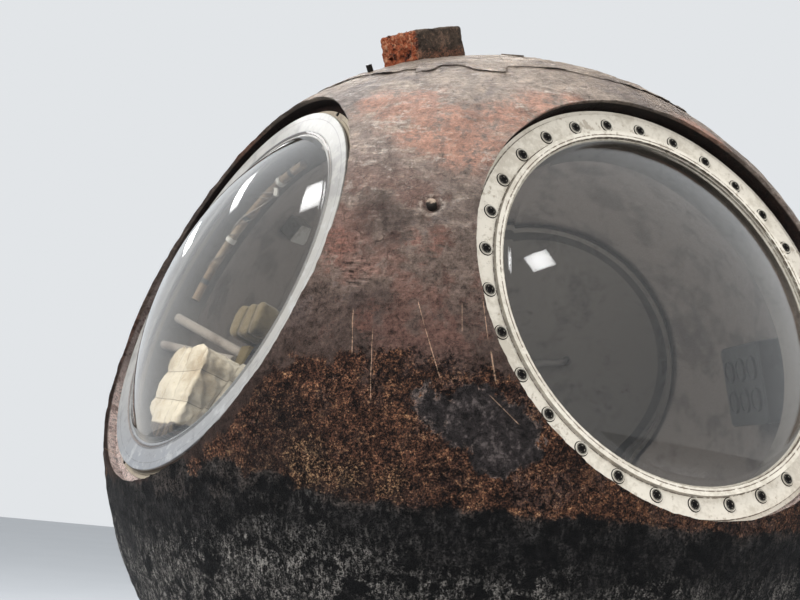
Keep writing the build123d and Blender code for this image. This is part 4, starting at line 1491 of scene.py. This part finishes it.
def trimmed(name, paths, material):
    """A piece of several tubes, each given by its path, radius and number of sides."""
    shape = bmesh.new()
    for path, thick, sides in paths:
        tube(shape, path, thick, sides)
    bmesh.ops.recalc_face_normals(shape, faces=shape.faces)
    piece = built(name, shape)
    piece.data.materials.append(material)
    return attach(smooth(piece, 50), "capsule")


def wound(start, end, turns, lift, phase):
    """The path of a wire that winds loosely round the bundle."""
    steps = int(turns * 22)
    path = []
    for step in range(steps + 1):
        share = step / steps
        loose = abs(layered(Vector((step * 0.11, phase, 0.3)), 1.0, 3)) * 0.002
        path.append(on_bundle(start + (end - start) * share, lift + loose, phase + 360 * turns * share))
    return path


wire_paths = [(wound(104, 150, 4.5, 0.0152, 20), 0.0013, 6), (wound(112, 168, 3.2, 0.0166, 200), 0.0016, 6),
              (wound(103, 160, 1.4, 0.0160, 120), 0.0024, 8)]
wires = trimmed("bundle_wires", wire_paths, hose_cloth)
strap_radius, strap_width = 0.0172, 1.9
strap_paths = [([on_bundle(turn, 0, 0), on_bundle(turn + strap_width, 0, 0)], strap_radius, 24)
               for turn in (147.0, 113.5)]
tag_top = on_bundle(117.0, 0.010, 150)
strap_paths.append(([tag_top, tag_top + Vector((0.004, -0.006, -0.046))], 0.0085, 4))
white_tape = metal("white tape", shade(166, 161, 152), shade(140, 133, 119), 0.7, 0.0)
straps = trimmed("bundle_straps", strap_paths, white_tape)
print("bundle trim:", len(wires.data.polygons) + len(straps.data.polygons), "faces")

# %% [markdown]
# ## Floor and light
# The hall is bright and even: a pale floor, a pale world that the camera sees as nearly
# white, a big soft window high on the left, a weaker one on the right and light from
# above. A small lamp in the cabin stands for the light that many windows send inside.

# %% Lamps, floor and world
def hung(name, data, place):
    """Puts a lamp in the scene at a place."""
    lamp = bpy.data.objects.new(name, data)
    lamp.matrix_world = place
    bpy.context.collection.objects.link(lamp)
    return lamp


def window_light(name, length, width, power, tint=(1, 1, 1)):
    """The settings of a rectangular lamp."""
    data = bpy.data.lights.new(name, "AREA")
    data.shape = "RECTANGLE"
    data.size, data.size_y, data.energy, data.color = length, width, power, tint
    return data


def area_lamp(name, place, length, width, power, tint=(1, 1, 1)):
    """A soft rectangular lamp that faces the ball."""
    aim = (centre - Vector(place)).to_track_quat("-Z", "Y").to_matrix().to_4x4()
    return hung(name, window_light(name, length, width, power, tint), Matrix.Translation(place) @ aim)


def floor_plate():
    """One big pale face at the ball's foot."""
    mesh = bpy.data.meshes.new("floor")
    reach = 14.0
    corners = [(-reach, -reach, 0), (reach, -reach, 0), (reach, reach, 0), (-reach, reach, 0)]
    mesh.from_pydata(corners, [], [(0, 1, 2, 3)])
    plate = make_object("floor", mesh)
    f = Finish("floor")
    tone = f.mix(shade(172, 174, 176), shade(164, 166, 169), f.noise(1.5, 3.0))
    mesh.materials.append(f.done(f.surface(Base_Color=tone, Roughness=0.65)))
    return plate


def pale_world():
    """The camera, mirrors and glass see it nearly white; its light on the scene is plain."""
    world = bpy.data.worlds.new("hall")
    world.use_nodes = True
    tree = world.node_tree
    tree.nodes.clear()
    path = tree.nodes.new("ShaderNodeLightPath")
    either = path.outputs["Is Camera Ray"]
    for kind in ("Is Glossy Ray", "Is Transmission Ray"):
        larger = tree.nodes.new("ShaderNodeMath")
        larger.operation = "MAXIMUM"
        tree.links.new(either, larger.inputs[0])
        tree.links.new(path.outputs[kind], larger.inputs[1])
        either = larger.outputs[0]
    mix = tree.nodes.new("ShaderNodeMixShader")
    tree.links.new(either, mix.inputs[0])
    for socket, colour in ((1, (0.92, 0.96, 1.0)), (2, shade(226, 229, 232))):
        sky = tree.nodes.new("ShaderNodeBackground")
        sky.inputs["Color"].default_value = (*colour, 1)
        tree.links.new(sky.outputs[0], mix.inputs[socket])
    output = tree.nodes.new("ShaderNodeOutputWorld")
    tree.links.new(mix.outputs[0], output.inputs["Surface"])
    bpy.context.scene.world = world


floor_plate()
pale_world()
soft_lamps = [
    area_lamp("left light", (-3.5, -4.5, 5.0), 3.0, 2.5, 860, (0.96, 0.98, 1.0)),
    area_lamp("right light", (5.0, -3.0, 3.5), 2.5, 2.5, 220, (1.0, 0.98, 0.95)),
    area_lamp("skylight", (0.0, 1.0, 6.0), 4.0, 4.0, 340),
]
for lamp in soft_lamps:
    lamp.visible_glossy = lamp.visible_transmission = False
inside = bpy.data.lights.new("cabin glow", "POINT")
inside.energy, inside.shadow_soft_size = 12.0, 0.25
glow = hung("cabin glow", inside, Matrix.Translation(cabin_centre + Vector((0.0, 0.0, 0.25))))
glow.visible_camera = glow.visible_glossy = glow.visible_transmission = False
print("lamps:", len(soft_lamps) + 1)

# %% [markdown]
# ## Windows mirrored in the domes
# Each dome shows small bright windows. A mirror image is placed by the law of reflection:
# from the camera to a spot on the dome, then back off its surface. Three spots give a
# window's middle, one end and one side, and so its size and tilt.

# %% Mirror lamps
mirror_distance = 5.0
mirror_glow = 14
mirror_beam = math.radians(8)


def bounced(spot, normal):
    """The way a look from the camera goes on once it is mirrored at a spot."""
    ray = (spot - camera.matrix_world.translation).normalized()
    return ray - normal * 2 * ray.dot(normal)


def mirror_lamp(name, hatch, rim_top, spots):
    """A window whose image in a dome has its middle, one end and one side on three spots."""
    place = hatch_frames[hatch]
    foot = rim_top + dome_height - dome_curve
    hub = place @ Vector((0, 0, foot))
    seen, mirrored = [], []
    for x, y in spots:
        point = place @ Vector((x, y, foot + math.sqrt(dome_curve**2 - x**2 - y**2)))
        seen.append(point + bounced(point, (point - hub).normalized()) * mirror_distance)
        mirrored.append(point)
    middle, end, side = seen
    z = (middle - mirrored[0]).normalized()
    x = (end - middle) - z * (end - middle).dot(z)
    y = (side - middle) - z * (side - middle).dot(z)
    length, width = 2 * x.length, 2 * abs(y.dot(z.cross(x.normalized())))
    power = mirror_glow * math.pi * length * width * (1 - mirror_beam / math.tan(mirror_beam))
    data = window_light(name, length, width, power)
    data.spread = 2 * mirror_beam
    x.normalize()
    turned_to = Matrix((x, z.cross(x), z)).transposed().to_4x4()
    turned_to.translation = middle
    print(name, "is", round(length, 2), "x", round(width, 2), "m")
    return hung(name, data, turned_to)


def sheen_place(azimuth, elevation, distance):
    """Where a lamp must be for the camera to see its sheen at one spot of the ball."""
    normal = direction(azimuth, elevation)
    spot = centre + normal * ball_radius
    return spot + bounced(spot, normal) * distance


area_lamp("sheen light", sheen_place(-10, 57, 3.5), 1.2, 2.0, 100)
mirror_lamp("long window", "left", left_rim_top, [(0.074, 0.236), (0.041, 0.320), (0.093, 0.232)])
mirror_lamp("low window", "left", left_rim_top, [(-0.093, 0.093), (-0.122, 0.140), (-0.060, 0.084)])
mirror_lamp("side window", "left", left_rim_top, [(0.399, 0.229), (0.381, 0.275), (0.435, 0.223)])
mirror_lamp("right window", "right", right_rim_top, [(-0.409, 0.047), (-0.382, 0.056), (-0.414, 0.070)])
bpy.context.scene.view_settings.view_transform = "Standard"
